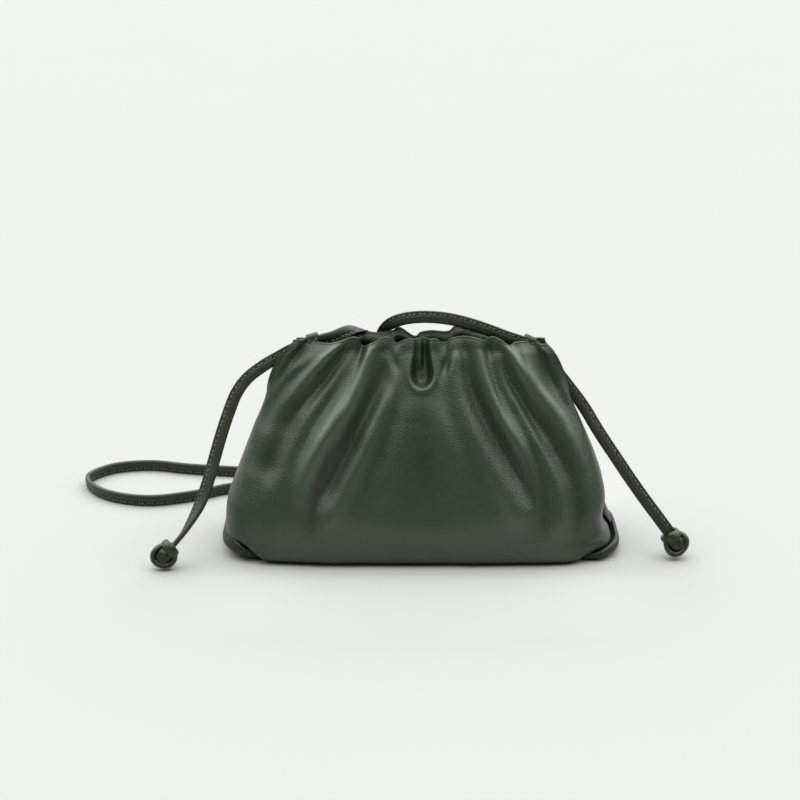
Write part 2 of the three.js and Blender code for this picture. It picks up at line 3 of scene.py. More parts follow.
import bpy
import numpy as np
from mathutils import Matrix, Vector


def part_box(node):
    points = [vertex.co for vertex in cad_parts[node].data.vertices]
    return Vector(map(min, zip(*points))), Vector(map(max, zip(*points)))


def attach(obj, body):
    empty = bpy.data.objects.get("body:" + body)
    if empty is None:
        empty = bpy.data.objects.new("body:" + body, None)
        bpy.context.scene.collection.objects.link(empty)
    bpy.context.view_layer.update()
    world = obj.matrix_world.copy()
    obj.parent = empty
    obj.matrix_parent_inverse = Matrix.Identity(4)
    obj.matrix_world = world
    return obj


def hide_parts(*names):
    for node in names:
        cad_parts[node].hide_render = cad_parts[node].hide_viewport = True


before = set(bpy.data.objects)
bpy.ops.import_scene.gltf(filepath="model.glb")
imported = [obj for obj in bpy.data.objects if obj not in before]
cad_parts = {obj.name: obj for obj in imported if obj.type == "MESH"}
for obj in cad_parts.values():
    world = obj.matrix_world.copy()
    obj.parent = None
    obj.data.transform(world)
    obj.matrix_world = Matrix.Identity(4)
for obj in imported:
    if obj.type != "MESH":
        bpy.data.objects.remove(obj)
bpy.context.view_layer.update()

# Camera
# The photograph looks down a little on the front of the bag, through a long lens from just over a metre.
CAMERA_ELEVATION = math.radians(18)
CAMERA_DISTANCE = 1.2
CAMERA_AIM = Vector((-0.0123, 0.0, 0.089))
LENS_MM = 90
SENSOR_MM = 36

camera = bpy.data.objects.new("camera", bpy.data.cameras.new("camera"))
bpy.context.scene.collection.objects.link(camera)
camera.data.lens = LENS_MM
camera.data.sensor_width = SENSOR_MM
camera.data.dof.use_dof = False
toward_camera = Vector((0, -math.cos(CAMERA_ELEVATION), math.sin(CAMERA_ELEVATION)))
camera.location = CAMERA_AIM + toward_camera * CAMERA_DISTANCE
camera.rotation_euler = (math.pi / 2 - CAMERA_ELEVATION, 0, 0)
bpy.context.scene.camera = camera

# Strap
# One narrow strip of the bag's leather, folded over along one edge and stitched along the other. It runs
# through the two keepers: the shoulder strap lies between them, and the two knotted tails beyond them.
STRAP_WIDTH = 0.0074
STRAP_THICKNESS = 0.003
RING_SPACING = 0.0012
STEPS_PER_ROW = 24

# The thread: one stitch's pitch, length and width, how far the row lies from the middle of the strap, how
# high it lies over the strap's middle plane, and the radius and soft edge of the needle holes.
STITCH_PITCH = 0.003
STITCH_LENGTH = 0.0018
STITCH_WIDTH = 0.0010
STITCH_LINE = 0.0019
STITCH_HEIGHT = 0.00078
STITCH_RINGS = 5
STITCH_SIDES = 6
NEEDLE_HOLE = 0.00085
NEEDLE_HOLE_EDGE = 0.00025

# Each row is a point of the centre line and the direction of the stitched edge there. The shoulder strap
# leaves the right keeper, arches over the rim, falls down the back, lies on the floor in one long loop
# and climbs back to the left keeper.
SHOULDER_ROUTE = [
    (0.06335, 0.0002, 0.124, 0.32, 0, 0.95),
    (0.058, 0.0003, 0.126, 0.32, 0, 0.95),
    (0.051, 0.001, 0.1282, 0.3, 0, 0.95),
    (0.042, 0.0024, 0.1313, 0.28, 0, 0.96),
    (0.03, 0.0036, 0.1352, 0.2, 0, 0.98),
    (0.016, 0.0048, 0.1383, 0.1, 0, 1),
    (0.002, 0.0056, 0.1392, 0, 0.05, 1),
    (-0.009, 0.0066, 0.1379, -0.2, 0.1, 0.96),
    (-0.0165, 0.009, 0.1348, -0.5, 0.1, 0.8),
    (-0.0215, 0.0132, 0.1296, -0.85, -0.3, 0.4),
    (-0.024, 0.0182, 0.1215, -1, -0.1, 0.1),
    (-0.025, 0.0236, 0.11, -1, 0, 0),
    (-0.026, 0.0304, 0.095, -1, 0, 0),
    (-0.027, 0.0375, 0.078, -1, 0, 0),
    (-0.027, 0.0446, 0.058, -1, 0, 0),
    (-0.026, 0.0498, 0.038, -1, 0, -0.1),
    (-0.02, 0.053, 0.02, -0.9, 0, -0.35),
    (-0.006, 0.056, 0.0075, -0.5, 0, -0.85),
    (0.014, 0.058, 0.0042, 0, 0, -1),
    (0.04, 0.059, 0.004, 0, 0, -1),
    (0.066, 0.06, 0.004, 0, 0, -1),
    (0.086, 0.066, 0.004, 0, 0, -1),
    (0.094, 0.082, 0.004, 0, 0, -1),
    (0.084, 0.097, 0.004, 0, 0, -1),
    (0.062, 0.103, 0.004, 0, 0, -1),
    (0.03, 0.104, 0.004, 0, 0, -1),
    (-0.01, 0.103, 0.004, 0, 0, -1),
    (-0.05, 0.103, 0.004, 0, 0, -1),
    (-0.09, 0.105, 0.004, 0, 0, -1),
    (-0.122, 0.108, 0.004, 0, 0, -1),
    (-0.152, 0.113, 0.004, 0, 0, -1),
    (-0.18, 0.12, 0.004, 0, 0, -1),
    (-0.204, 0.1135, 0.004, 0, 0, -1),
    (-0.217, 0.095, 0.004, 0, 0, -1),
    (-0.212, 0.077, 0.004, 0, 0, -1),
    (-0.196, 0.061, 0.004, 0, 0, -1),
    (-0.172, 0.054, 0.004, 0, 0, -1),
    (-0.146, 0.062, 0.004, 0, 0, -1),
    (-0.12, 0.077, 0.004, 0, 0, -1),
    (-0.092, 0.077, 0.004, 0, 0, -1),
    (-0.066, 0.066, 0.0046, 0.1, 0, -1),
    (-0.047, 0.0575, 0.01, 0.6, 0, -0.75),
    (-0.0375, 0.053, 0.024, 0.95, 0, -0.35),
    (-0.035, 0.0494, 0.042, 1, 0, -0.1),
    (-0.0345, 0.044, 0.06, 1, 0, 0),
    (-0.0345, 0.0372, 0.079, 1, 0, 0),
    (-0.034, 0.03, 0.096, 1, 0, 0),
    (-0.0335, 0.0234, 0.1105, 1, 0, 0),
    (-0.033, 0.0182, 0.121, 1, -0.1, 0),
    (-0.0345, 0.013, 0.1278, 0.95, -0.3, 0.1),
    (-0.039, 0.0082, 0.1304, 0.6, -0.75, -0.25),
    (-0.045, 0.0046, 0.1301, 0.25, -0.45, -0.85),
    (-0.052, 0.0011, 0.128, 0.3, -0.1, -0.95),
    (-0.058, 0.0001, 0.1267, 0.28, 0, -0.96),
    (-0.06335, 0.0002, 0.1252, 0.28, 0, -0.96),
]
LEFT_TAIL_ROUTE = [
    (-0.06365, 0.0002, 0.1251, -0.28, 0, 0.96),
    (-0.07, 0.0003, 0.1233, -0.3, 0, 0.95),
    (-0.077, 0.0002, 0.1203, -0.45, 0, 0.9),
    (-0.0845, -0.0004, 0.1162, -0.5, 0, 0.86),
    (-0.0943, -0.004, 0.1112, -0.55, 0, 0.84),
    (-0.1031, -0.008, 0.105, -0.8, -0.1, 0.6),
    (-0.109, -0.011, 0.0975, -0.9, 0.1, 0.4),
    (-0.1136, -0.0145, 0.087, -0.95, 0, 0.3),
    (-0.118, -0.0195, 0.0745, -0.97, 0, 0.25),
    (-0.1226, -0.0256, 0.0593, -0.97, 0, 0.25),
    (-0.1259, -0.031, 0.0481, -0.95, 0.1, 0.3),
    (-0.1306, -0.036, 0.036, -0.8, 0.5, 0.1),
    (-0.1372, -0.041, 0.0249, -0.4, 0.88, -0.1),
    (-0.1426, -0.0442, 0.0174, -0.1, 0.95, -0.3),
    (-0.1468, -0.046, 0.0127, 0, 0.95, -0.31),
]
RIGHT_TAIL_ROUTE = [
    (0.0639, 0.0002, 0.1237, 0.33, 0, 0.95),
    (0.069, 0.0002, 0.1217, 0.4, 0, 0.92),
    (0.076, 0.0002, 0.1152, 0.72, 0, 0.68),
    (0.0825, 0.0003, 0.1056, 0.8, 0, 0.6),
    (0.0891, 0.0002, 0.097, 0.8, 0, 0.58),
    (0.0976, -0.0026, 0.086, 0.83, 0, 0.55),
    (0.1066, -0.009, 0.0722, 0.83, 0, 0.55),
    (0.1162, -0.0146, 0.0586, 0.82, 0, 0.57),
    (0.1258, -0.019, 0.045, 0.8, 0, 0.58),
    (0.1354, -0.0236, 0.0322, 0.8, 0, 0.6),
    (0.1425, -0.0266, 0.0232, 0.8, 0, 0.6),
    (0.1489, -0.0295, 0.0149, 0.8, 0, 0.6),
]

# Half of the strap's section, from the folded edge to the stitched edge: place across and half thickness.
SECTION = [
    (-0.0037, 0), (-0.00364, 0.00055), (-0.0034, 0.001), (-0.00295, 0.00135), (-0.0023, 0.0015),
    (-0.0014, 0.00154), (-0.0005, 0.0015), (0.0004, 0.00138), (0.00095, 0.00116), (0.0013, 0.00086),
    (0.0016, 0.00074), (0.0022, 0.00076), (0.0028, 0.00084), (0.0033, 0.00084), (0.0036, 0.00064),
    (0.0037, 0.0003),
]


def smooth_route(rows, spacing=RING_SPACING):
    """A smooth line through the rows, evenly spaced: points, edge and face directions, and run."""
    rows = np.array(rows, float)
    points = rows[:, :3]
    padded = np.vstack([2 * points[0] - points[1], points, 2 * points[-1] - points[-2]])
    line, edges = [], []
    for i in range(len(points) - 1):
        a, b, c, d = padded[i:i + 4]
        gaps = [max(np.linalg.norm(q - p), 1e-9) ** 0.5 for p, q in ((a, b), (b, c), (c, d))]
        t0, t1, t2, t3 = np.cumsum([0.0] + gaps)
        for s in np.linspace(0, 1, STEPS_PER_ROW, endpoint=False):
            t = t1 + s * (t2 - t1)
            ab = a + (b - a) * (t - t0) / (t1 - t0)
            bc = b + (c - b) * (t - t1) / (t2 - t1)
            cd = c + (d - c) * (t - t2) / (t3 - t2)
            abc = ab + (bc - ab) * (t - t0) / (t2 - t0)
            bcd = bc + (cd - bc) * (t - t1) / (t3 - t1)
            line.append(abc + (bcd - abc) * (t - t1) / (t2 - t1))
            edges.append(rows[i, 3:] + (rows[i + 1, 3:] - rows[i, 3:]) * s)
    line.append(points[-1])
    edges.append(rows[-1, 3:])
    line, edges = np.array(line), np.array(edges)
    run = np.concatenate([[0], np.cumsum(np.linalg.norm(np.diff(line, axis=0), axis=1))])
    places = np.linspace(0, run[-1], max(int(run[-1] / spacing), 8) + 1)
    line = np.stack([np.interp(places, run, line[:, k]) for k in range(3)], axis=1)
    edges = np.stack([np.interp(places, run, edges[:, k]) for k in range(3)], axis=1)
    tangents = np.gradient(line, axis=0)
    tangents /= np.linalg.norm(tangents, axis=1)[:, None]
    edges -= tangents * np.sum(edges * tangents, axis=1)[:, None]
    edges /= np.linalg.norm(edges, axis=1)[:, None]
    return line, edges, np.cross(tangents, edges), places


def mesh_piece(name, points, faces):
    """A new object at the origin with the given points and faces."""
    mesh = bpy.data.meshes.new(name)
    mesh.from_pydata([tuple(p) for p in points], [], [tuple(f) for f in faces])
    mesh.update()
    mesh.polygons.foreach_set("use_smooth", [True] * len(mesh.polygons))
    piece = bpy.data.objects.new(name, mesh)
    bpy.context.scene.collection.objects.link(piece)
    return piece


def ring_faces(count, sides, first=0, closed=False):
    """Faces from each ring of points to the next, and when closed, from the last ring to the first."""
    faces = []
    for i in range(count if closed else count - 1):
        j = (i + 1) % count
        for k in range(sides):
            n = (k + 1) % sides
            faces.append(tuple(first + r * sides + s for r, s in ((i, k), (j, k), (j, n), (i, n))))
    return faces


def skin_rings(rings):
    """Points and faces of a tube through rings of equal count, closed at both ends by a fan."""
    count, sides = len(rings), len(rings[0])
    points = [p for ring in rings for p in ring]
    points += [np.mean(rings[0], axis=0), np.mean(rings[-1], axis=0)]
    faces = [(a, d, c, b) for a, b, c, d in ring_faces(count, sides)]
    start, end = len(points) - 2, len(points) - 1
    for k in range(sides):
        n = (k + 1) % sides
        faces.append((start, n, k))
        faces.append((end, (count - 1) * sides + k, (count - 1) * sides + n))
    return points, faces


def lay_strap(name, route):
    """The strap along a route: its section swept, with the stitched edge turned as the route says."""
    line, edges, normals, places = smooth_route(route)
    loop = SECTION + [(w, -t) for w, t in reversed(SECTION[1:])]
    rings = [[p + e * w + n * t for w, t in loop] for p, e, n in zip(line, edges, normals)]
    points, faces = skin_rings(rings)
    piece = mesh_piece(name, points, faces)
    lengthways = piece.data.uv_layers.new(name="along")
    sides = len(loop)
    run = np.concatenate([np.repeat(places, sides), [places[0], places[-1]]])
    across = np.concatenate([np.tile([w for w, _ in loop], len(line)), [0, 0]])
    loops = np.empty(len(piece.data.loops), dtype=np.int32)
    piece.data.loops.foreach_get("vertex_index", loops)
    lengthways.data.foreach_set("uv", np.stack([run[loops], across[loops]], axis=1).ravel())
    return piece, [tuple(p) for p in line]


def add_stitch(points, faces, middle, along, across, out):
    """One stitch of thread: a low bead, thin at both ends where it dives into the needle holes."""
    first, sides = len(points), STITCH_SIDES
    for i in range(STITCH_RINGS):
        s = math.cos(math.pi * i / (STITCH_RINGS - 1))
        girth = max(1 - s ** 4, 0.08) ** 0.5 * STITCH_WIDTH / 2
        for k in range(sides):
            angle = 2 * math.pi * k / sides
            points.append(middle + along * s * STITCH_LENGTH / 2
                          + across * math.cos(angle) * girth + out * math.sin(angle) * girth)
    faces += ring_faces(STITCH_RINGS, sides, first)
    faces.append(tuple(first + k for k in range(sides)))
    faces.append(tuple(first + (STITCH_RINGS - 1) * sides + k for k in reversed(range(sides))))


def unit(way):
    """The same direction, with length 1."""
    return way / np.linalg.norm(way)


def sew_strap(name, route):
    """The row of thread on both faces of the strap, one low bead for each stitch."""
    line, edges, normals, places = smooth_route(route)
    points, faces = [], []
    for face in (1, -1):
        at = STITCH_PITCH
        while at < places[-1] - STITCH_PITCH:
            index = int(np.searchsorted(places, at))
            p, e, n = line[index], edges[index], normals[index] * face
            along = unit(line[min(index + 1, len(line) - 1)] - line[index - 1])
            add_stitch(points, faces, p + e * STITCH_LINE + n * STITCH_HEIGHT, along, e, n)
            at += STITCH_PITCH
    return mesh_piece(name, points, faces)


class Wire:
    """A socket of a finish. Sums of wires and numbers add Math nodes, and node() adds any other node."""

    def __init__(self, tree, socket=None):
        self.tree, self.socket = tree, socket

    def node(self, kind, settings=None, inputs=None, output=0):
        made = self.tree.nodes.new(kind)
        for key, value in (settings or {}).items():
            if key == "stops":
                ramp = made.color_ramp
                while len(ramp.elements) < len(value):
                    ramp.elements.new(1)
                for element, (place, colour) in zip(ramp.elements, value):
                    element.position, element.color = place, colour
            else:
                setattr(made, key, value)
        for key, value in (inputs or {}).items():
            if isinstance(value, Wire):
                self.tree.links.new(value.socket, made.inputs[key])
            else:
                made.inputs[key].default_value = value
        return Wire(self.tree, made.outputs[output] if made.outputs else None)

    def _math(self, operation, first, second):
        return self.node("ShaderNodeMath", {"operation": operation}, {0: first, 1: second})

    def __add__(self, other): return self._math("ADD", self, other)
    def __radd__(self, other): return self._math("ADD", other, self)
    def __sub__(self, other): return self._math("SUBTRACT", self, other)
    def __rsub__(self, other): return self._math("SUBTRACT", other, self)
    def __mul__(self, other): return self._math("MULTIPLY", self, other)
    def __rmul__(self, other): return self._math("MULTIPLY", other, self)
    def __truediv__(self, other): return self._math("DIVIDE", self, other)
    def __pow__(self, other): return self._math("POWER", self, other)


def clamp(wire):
    """The wire's value, held between 0 and 1."""
    return wire.node("ShaderNodeClamp", {}, {"Value": wire})


def axis_of(wire, axis):
    """One of the three parts of a place or a direction."""
    return wire.node("ShaderNodeSeparateXYZ", {}, {"Vector": wire}, output=axis)


def noise(place, **sizes):
    """A cloudy pattern through the leather, thread or floor."""
    return place.node("ShaderNodeTexNoise", {}, {"Vector": place, **sizes})


def dye(share, first, second):
    """The first colour, turning to the second where share is 1."""
    return share.node("ShaderNodeMix", {"data_type": "RGBA"}, {0: share, 6: first, 7: second}, output=2)


def blank_finish(name):
    """An empty material, and the place on the piece that its pattern is worked out from."""
    material = bpy.data.materials.new(name)
    material.use_nodes = True
    material.node_tree.nodes.clear()
    return material, Wire(material.node_tree).node("ShaderNodeTexCoord", output="Object")


def surface(place, inputs):
    """The last nodes of a finish, with the given inputs."""
    shader = place.node("ShaderNodeBsdfPrincipled", {}, inputs)
    place.node("ShaderNodeOutputMaterial", {}, {"Surface": shader})


# The waxy polish of the panels, low on the belly and between its ends: where it is gone and how far it
# takes to fade. It also lies along the ridges.
POLISH_TOP = 0.078
POLISH_TOP_FADE = 0.060
POLISH_END = 0.118
POLISH_END_FADE = 0.035
# Painted shade: the near-black colour of the strap's needle holes.
HOLE_SHADE_COLOUR = (0.002, 0.003, 0.002, 1)


def leather(name, deep, light, roughness=0.4, shine=0.45, grain=0.0002, holes=False, folds=False):
    """Smooth satin leather: fine pebbled grain, a cloudy dye, and a duller or brighter polish in places.

    With holes it has the needle holes of the strap's seam, sunk and painted near black as painted shade.
    With folds its colour has painted light on the ridges and painted shade in the valleys, and it is waxier
    on the ridges.
    """
    material, place = blank_finish(name)
    cloud = noise(place, Scale=38, Detail=4, Roughness=0.55)
    mottle = noise(place, Scale=420, Detail=3, Roughness=0.6)
    creases = noise(place, Scale=160, Detail=5, Roughness=0.65, Distortion=0.8)
    pebbles = place.node("ShaderNodeTexVoronoi", {"feature": "SMOOTH_F1"}, {
        "Vector": place, "Scale": 1250, "Smoothness": 0.5})
    tone = clamp(cloud * 0.9 + mottle * 0.35 - 0.15)
    wax = cloud * 0.05
    if folds:
        # Painted light and shade: by the rise attribute, the fold ridges are painted lighter and the
        # valleys darker.
        rise = place.node("ShaderNodeAttribute", {"attribute_name": "rise"}, output="Fac")
        tone = clamp(tone * 0.35 + rise * 0.75 + 0.33)
        low = clamp((POLISH_TOP - axis_of(place, "Z")) / POLISH_TOP_FADE)
        between = clamp((POLISH_END - (axis_of(place, "X") ** 2) ** 0.5) / POLISH_END_FADE)
        wax = wax + low * between * 0.66 + clamp(rise * 1.1) * 0.75
    colour = dye(tone, deep, light)
    polish = clamp(roughness - 0.07 + cloud * 0.1 + mottle * 0.06)
    height = pebbles * -0.85 + creases * 0.3
    if holes:
        along = place.node("ShaderNodeUVMap", {"uv_map": "along"})
        pitches = axis_of(along, "X") / STITCH_PITCH + 0.5
        beat = along.node("ShaderNodeMath", {"operation": "FRACT"}, {0: pitches}) - 0.5
        reach = ((beat * STITCH_PITCH) ** 2 + (axis_of(along, "Y") - STITCH_LINE) ** 2) ** 0.5
        hole = clamp((NEEDLE_HOLE - reach) / NEEDLE_HOLE_EDGE)
        # Painted shade: the needle holes are painted near black, and they are also sunk in the bump.
        colour = dye(hole * 0.95, colour, HOLE_SHADE_COLOUR)
        height = height - hole * 4
    bump = place.node("ShaderNodeBump", {}, {"Strength": 0.6, "Distance": grain, "Height": height})
    surface(place, {"Base Color": colour, "Roughness": polish, "Normal": bump,
                    "Specular IOR Level": shine, "Coat Weight": wax, "Coat Roughness": 0.38})
    return material


def thread(name, colour):
    """Twisted thread, a little lighter than the leather, with a slight twist in its colour and height."""
    material, place = blank_finish(name)
    twist = noise(place, Scale=2600, Detail=2)
    shade = dye(twist, [c * 0.6 for c in colour[:3]] + [1], colour)
    bump = place.node("ShaderNodeBump", {}, {"Strength": 0.4, "Distance": 0.0001, "Height": twist})
    surface(place, {"Base Color": shade, "Roughness": 0.6, "Normal": bump})
    return material


STRAP_DEEP = (0.0078, 0.0156, 0.0050, 1)
STRAP_LIGHT = (0.0140, 0.0250, 0.0092, 1)
strap_leather = leather("strap_leather", STRAP_DEEP, STRAP_LIGHT, roughness=0.46, holes=True)
THREAD_COLOUR = (0.12, 0.13, 0.10, 1)
strap_thread = thread("strap_thread", THREAD_COLOUR)

# Knots
# One is tied in the end of each tail, of the strap itself: it runs once round the ball, face on, tucks
# through it so that its end swells out in the middle, and wraps the tail where it comes out.
# Columns of the wraps: radius, half the width, half the thickness, place along the wrap's own axis, and
# how far that axis leans from the front, 0, to the tail, 1.
KNOT_WRAPS = [
    (0.0064, 0.0036, 0.0015, 0.0004, 0.12),
    (0.0050, 0.0031, 0.0012, 0.0050, 1.00),
]
KNOT_FACES_UP = 0.35
KNOT_TURNS = 64
KNOT_SIDES = 20
KNOT_HEART = (0.0054, 0.0052, 0.0056)
HEART_RINGS = 24
HEART_SIDES = 32
FLOOR_CLEARANCE = 0.0002
LEFT_KNOT = (-0.1514, -0.0480, 0.0080)
RIGHT_KNOT = (0.1527, -0.0312, 0.0090)


def tie_knot(node, centre, route, phase):
    """A tied knot on the end of a tail's route. The phase varies how its wraps bulge and wander."""
    centre, tail_before, tail_end = np.array(centre), route[-2][:3], route[-1][:3]
    tail = unit(np.array(tail_before) - np.array(tail_end))
    front = np.array([0, -math.cos(KNOT_FACES_UP), math.sin(KNOT_FACES_UP)])
    points, faces = [], []
    for radius, half_width, half_thick, place, lean in KNOT_WRAPS:
        axis = unit(front * (1 - abs(lean)) + tail * lean)
        side = unit(np.cross(axis, [0.0, 0.0, 1.0]))
        up = np.cross(side, axis)
        first, turns, sides = len(points), KNOT_TURNS, KNOT_SIDES
        for i in range(turns):
            a = 2 * math.pi * i / turns
            out = side * math.cos(a) + up * math.sin(a)
            reach = radius * (1 + 0.045 * math.cos(2 * a + phase) + 0.03 * math.cos(3 * a + 2 * phase))
            drift = 0.0007 * math.sin(a + phase) + 0.0004 * math.sin(3 * a)
            wide = half_width * (1 + 0.10 * math.sin(2 * a + phase))
            middle = centre + axis * (place + drift) + out * reach
            for k in range(sides):
                b = 2 * math.pi * k / sides
                c, s = math.cos(b), math.sin(b)
                cross = math.copysign(abs(c) ** 0.75, c) * wide
                rise = math.copysign(abs(s) ** 0.8, s) * half_thick - 0.10 * cross * cross / half_width
                points.append(middle + axis * cross + out * rise)
        faces += ring_faces(turns, sides, first, closed=True)
    axis = unit(front - tail * 0.2)
    side = unit(np.cross(axis, tail))
    up = np.cross(side, axis)
    rings = []
    wide, tall, deep = KNOT_HEART
    for i in range(1, HEART_RINGS):
        a = math.pi * i / HEART_RINGS
        ring = []
        for k in range(HEART_SIDES):
            b = 2 * math.pi * k / HEART_SIDES
            girth = math.sin(a) ** 0.7 * (1 - 0.08 * math.cos(4 * b))
            off_crease = math.cos(b - 0.6) * math.sin(a) / 0.22
            crease = 1 - 0.16 * math.exp(-off_crease ** 2) * max(math.cos(a), 0)
            ring.append(centre + side * (wide * girth * math.cos(b)) + up * (tall * girth * math.sin(b))
                        + axis * (deep * math.cos(a) * crease))
        rings.append(ring)
    heart_points, heart_faces = skin_rings(rings)
    first = len(points)
    points += heart_points
    faces += [tuple(first + k for k in face) for face in heart_faces]
    sunk = FLOOR_CLEARANCE - min(p[2] for p in points)
    if sunk > 0:
        points = [p + (0, 0, sunk) for p in points]
    piece = mesh_piece(node + "_tied", points, faces)
    piece.data.materials.append(knot_leather)
    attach(piece, "root")
    return piece


knot_leather = leather("knot_leather", STRAP_DEEP, STRAP_LIGHT, roughness=0.34)
left_knot = tie_knot("left_knot", LEFT_KNOT, LEFT_TAIL_ROUTE, 0.4)
right_knot = tie_knot("right_knot", RIGHT_KNOT, RIGHT_TAIL_ROUTE, 2.1)
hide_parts("left_knot")
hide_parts("right_knot")

# The three lengths of the strap, laid and sewn, with their real lengths in metres.
for node, route, length, far_end, knot in (
        ("shoulder_strap", SHOULDER_ROUTE, 1.045, "object", None),
        ("left_tail", LEFT_TAIL_ROUTE, 0.156, "knot", left_knot),
        ("right_tail", RIGHT_TAIL_ROUTE, 0.144, "knot", right_knot)):
    strap, path = lay_strap(node + "_leather", route)
    strap.data.materials.append(strap_leather)
    stitches = sew_strap(node + "_stitches", route)
    stitches.data.materials.append(strap_thread)
    for piece in (strap, stitches):
        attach(piece, "root")
    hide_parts(node)

# Front and back panels
# Two pieces of soft leather sewn together at the sides with the seam turned in, and gathered along the
# rim into pleats that fan out and die away lower down. Above the seams a notch at each side lets the
# strap out.
BAG_WIDTH = 0.238
BAG_DEPTH = 0.094
RIM_HEIGHT = 0.126
MOUTH_WIDTH = 0.147
MOUTH_DEPTH = 0.018
PIECE_GAP = 0.0003
SIDE_TUCK = 0.009
SIDE_ROUND = 0.006
NOTCH_GAP = 0.0092
NOTCH_FOOT = 0.078
NOTCH_TOP = 0.099

# The leather's thickness, the hem folded inside the rim, and how far the edges roll: the rim in at the
# front and out at the back, thinner as it turns, and the foot in under the bag.
LEATHER = 0.0018
HEM_LEATHER = 0.0009
HEM_DEPTH = 0.007
RIM_ROLL = 0.0016
RIM_ROLL_DEPTH = 0.005
RIM_THINNING = 0.0012
BACK_RIM_FLARE = 1.6
FOOT_ROLL = 0.0048
FOOT_ROLL_HEIGHT = 0.0055
RIM_ARC = 7
CORNER_COLUMNS = 12
TUCK_COLUMNS = 10

# Painted shade: the inner face is painted dark, as a deep valley is.
INSIDE_SHADE_RISE = -0.6

# Upright sections of the body. Width and depth are 0 at the mouth's size and 1 at the belly's. Columns:
# height, front width left and right, back width, depth, squareness, side tuck, how far the edge turns in.
SECTIONS = np.array([
    (0, 0.94, 0.985, 0.99, 1, 4.4, 0.02, 1),
    (0.04, 0.965, 0.97, 1, 1.025, 4.3, 0.05, 1),
    (0.08, 0.975, 0.915, 0.97, 1.035, 4.2, 0.12, 1),
    (0.13, 0.975, 0.82, 0.91, 1.035, 4.1, 0.4, 1),
    (0.19, 0.96, 0.795, 0.86, 1.03, 4, 0.8, 1),
    (0.26, 0.93, 0.83, 0.8, 1, 3.8, 0.95, 1),
    (0.36, 0.835, 0.78, 0.72, 0.93, 3.5, 1, 1),
    (0.48, 0.705, 0.665, 0.6, 0.82, 3.2, 1, 1),
    (0.6, 0.58, 0.53, 0.475, 0.68, 3, 0.9, 0.9),
    (0.72, 0.485, 0.42, 0.37, 0.51, 2.8, 0.7, 0.5),
    (0.84, 0.37, 0.29, 0.26, 0.3, 2.7, 0.4, 0.1),
    (0.94, 0.23, 0.16, 0.14, 0.12, 2.6, 0.2, 0),
    (0.985, 0.1, 0.05, 0.03, 0.03, 2.6, 0.12, 0),
    (1.04, 0, 0, 0, 0, 2.6, 0.1, 0),
])

# Height of the panels' lower edge by share of the half width. It lifts where the base comes up.
FOOT_LINE = [(-1, 0.014), (-0.95, 0.013), (-0.9, 0.01), (-0.85, 0.0052), (-0.8, 0.001), (-0.74, 0.0004),
             (0.74, 0.0004), (0.8, 0.001), (0.85, 0.004), (0.9, 0.0066), (0.95, 0.0084), (1, 0.0092)]

# Lift of the upper edges above the rim height, by share of the half width.
FRONT_RIM = [(-1, 0.001), (-0.9, 0.0008), (-0.82, 0.0002), (-0.74, 0), (-0.66, 0.0016), (-0.58, 0.0036),
             (-0.52, 0.0028), (-0.475, -0.0008), (-0.435, -0.0006), (-0.38, 0.0012), (-0.34, 0.0028),
             (-0.27, 0.0036), (-0.23, 0.0024), (-0.2, 0.0004), (-0.165, 0.0012), (-0.09, 0.003),
             (-0.04, 0.0026), (0.01, 0.0034), (0.06, 0.0026), (0.12, 0.003), (0.175, 0.0008),
             (0.215, 0.001), (0.26, 0.0034), (0.4, 0.004), (0.5, 0.0028), (0.535, 0.0016),
             (0.58, 0.0034), (0.62, 0.0036), (0.68, 0.0016), (0.735, -0.0012), (0.79, 0.0004),
             (0.89, 0.0004), (1, -0.0016)]
BACK_RIM = [(-1, 0), (-0.62, 0.0006), (-0.52, 0.002), (-0.24, 0.0024), (-0.195, 0.0046), (-0.15, 0.0036),
            (-0.08, 0.0004), (-0.04, -0.0006), (0, 0.0018), (0.24, 0.0024), (0.29, 0.005), (0.38, 0.0048),
            (0.46, 0.0034), (0.54, 0.0022), (0.64, 0.0006), (1, 0)]

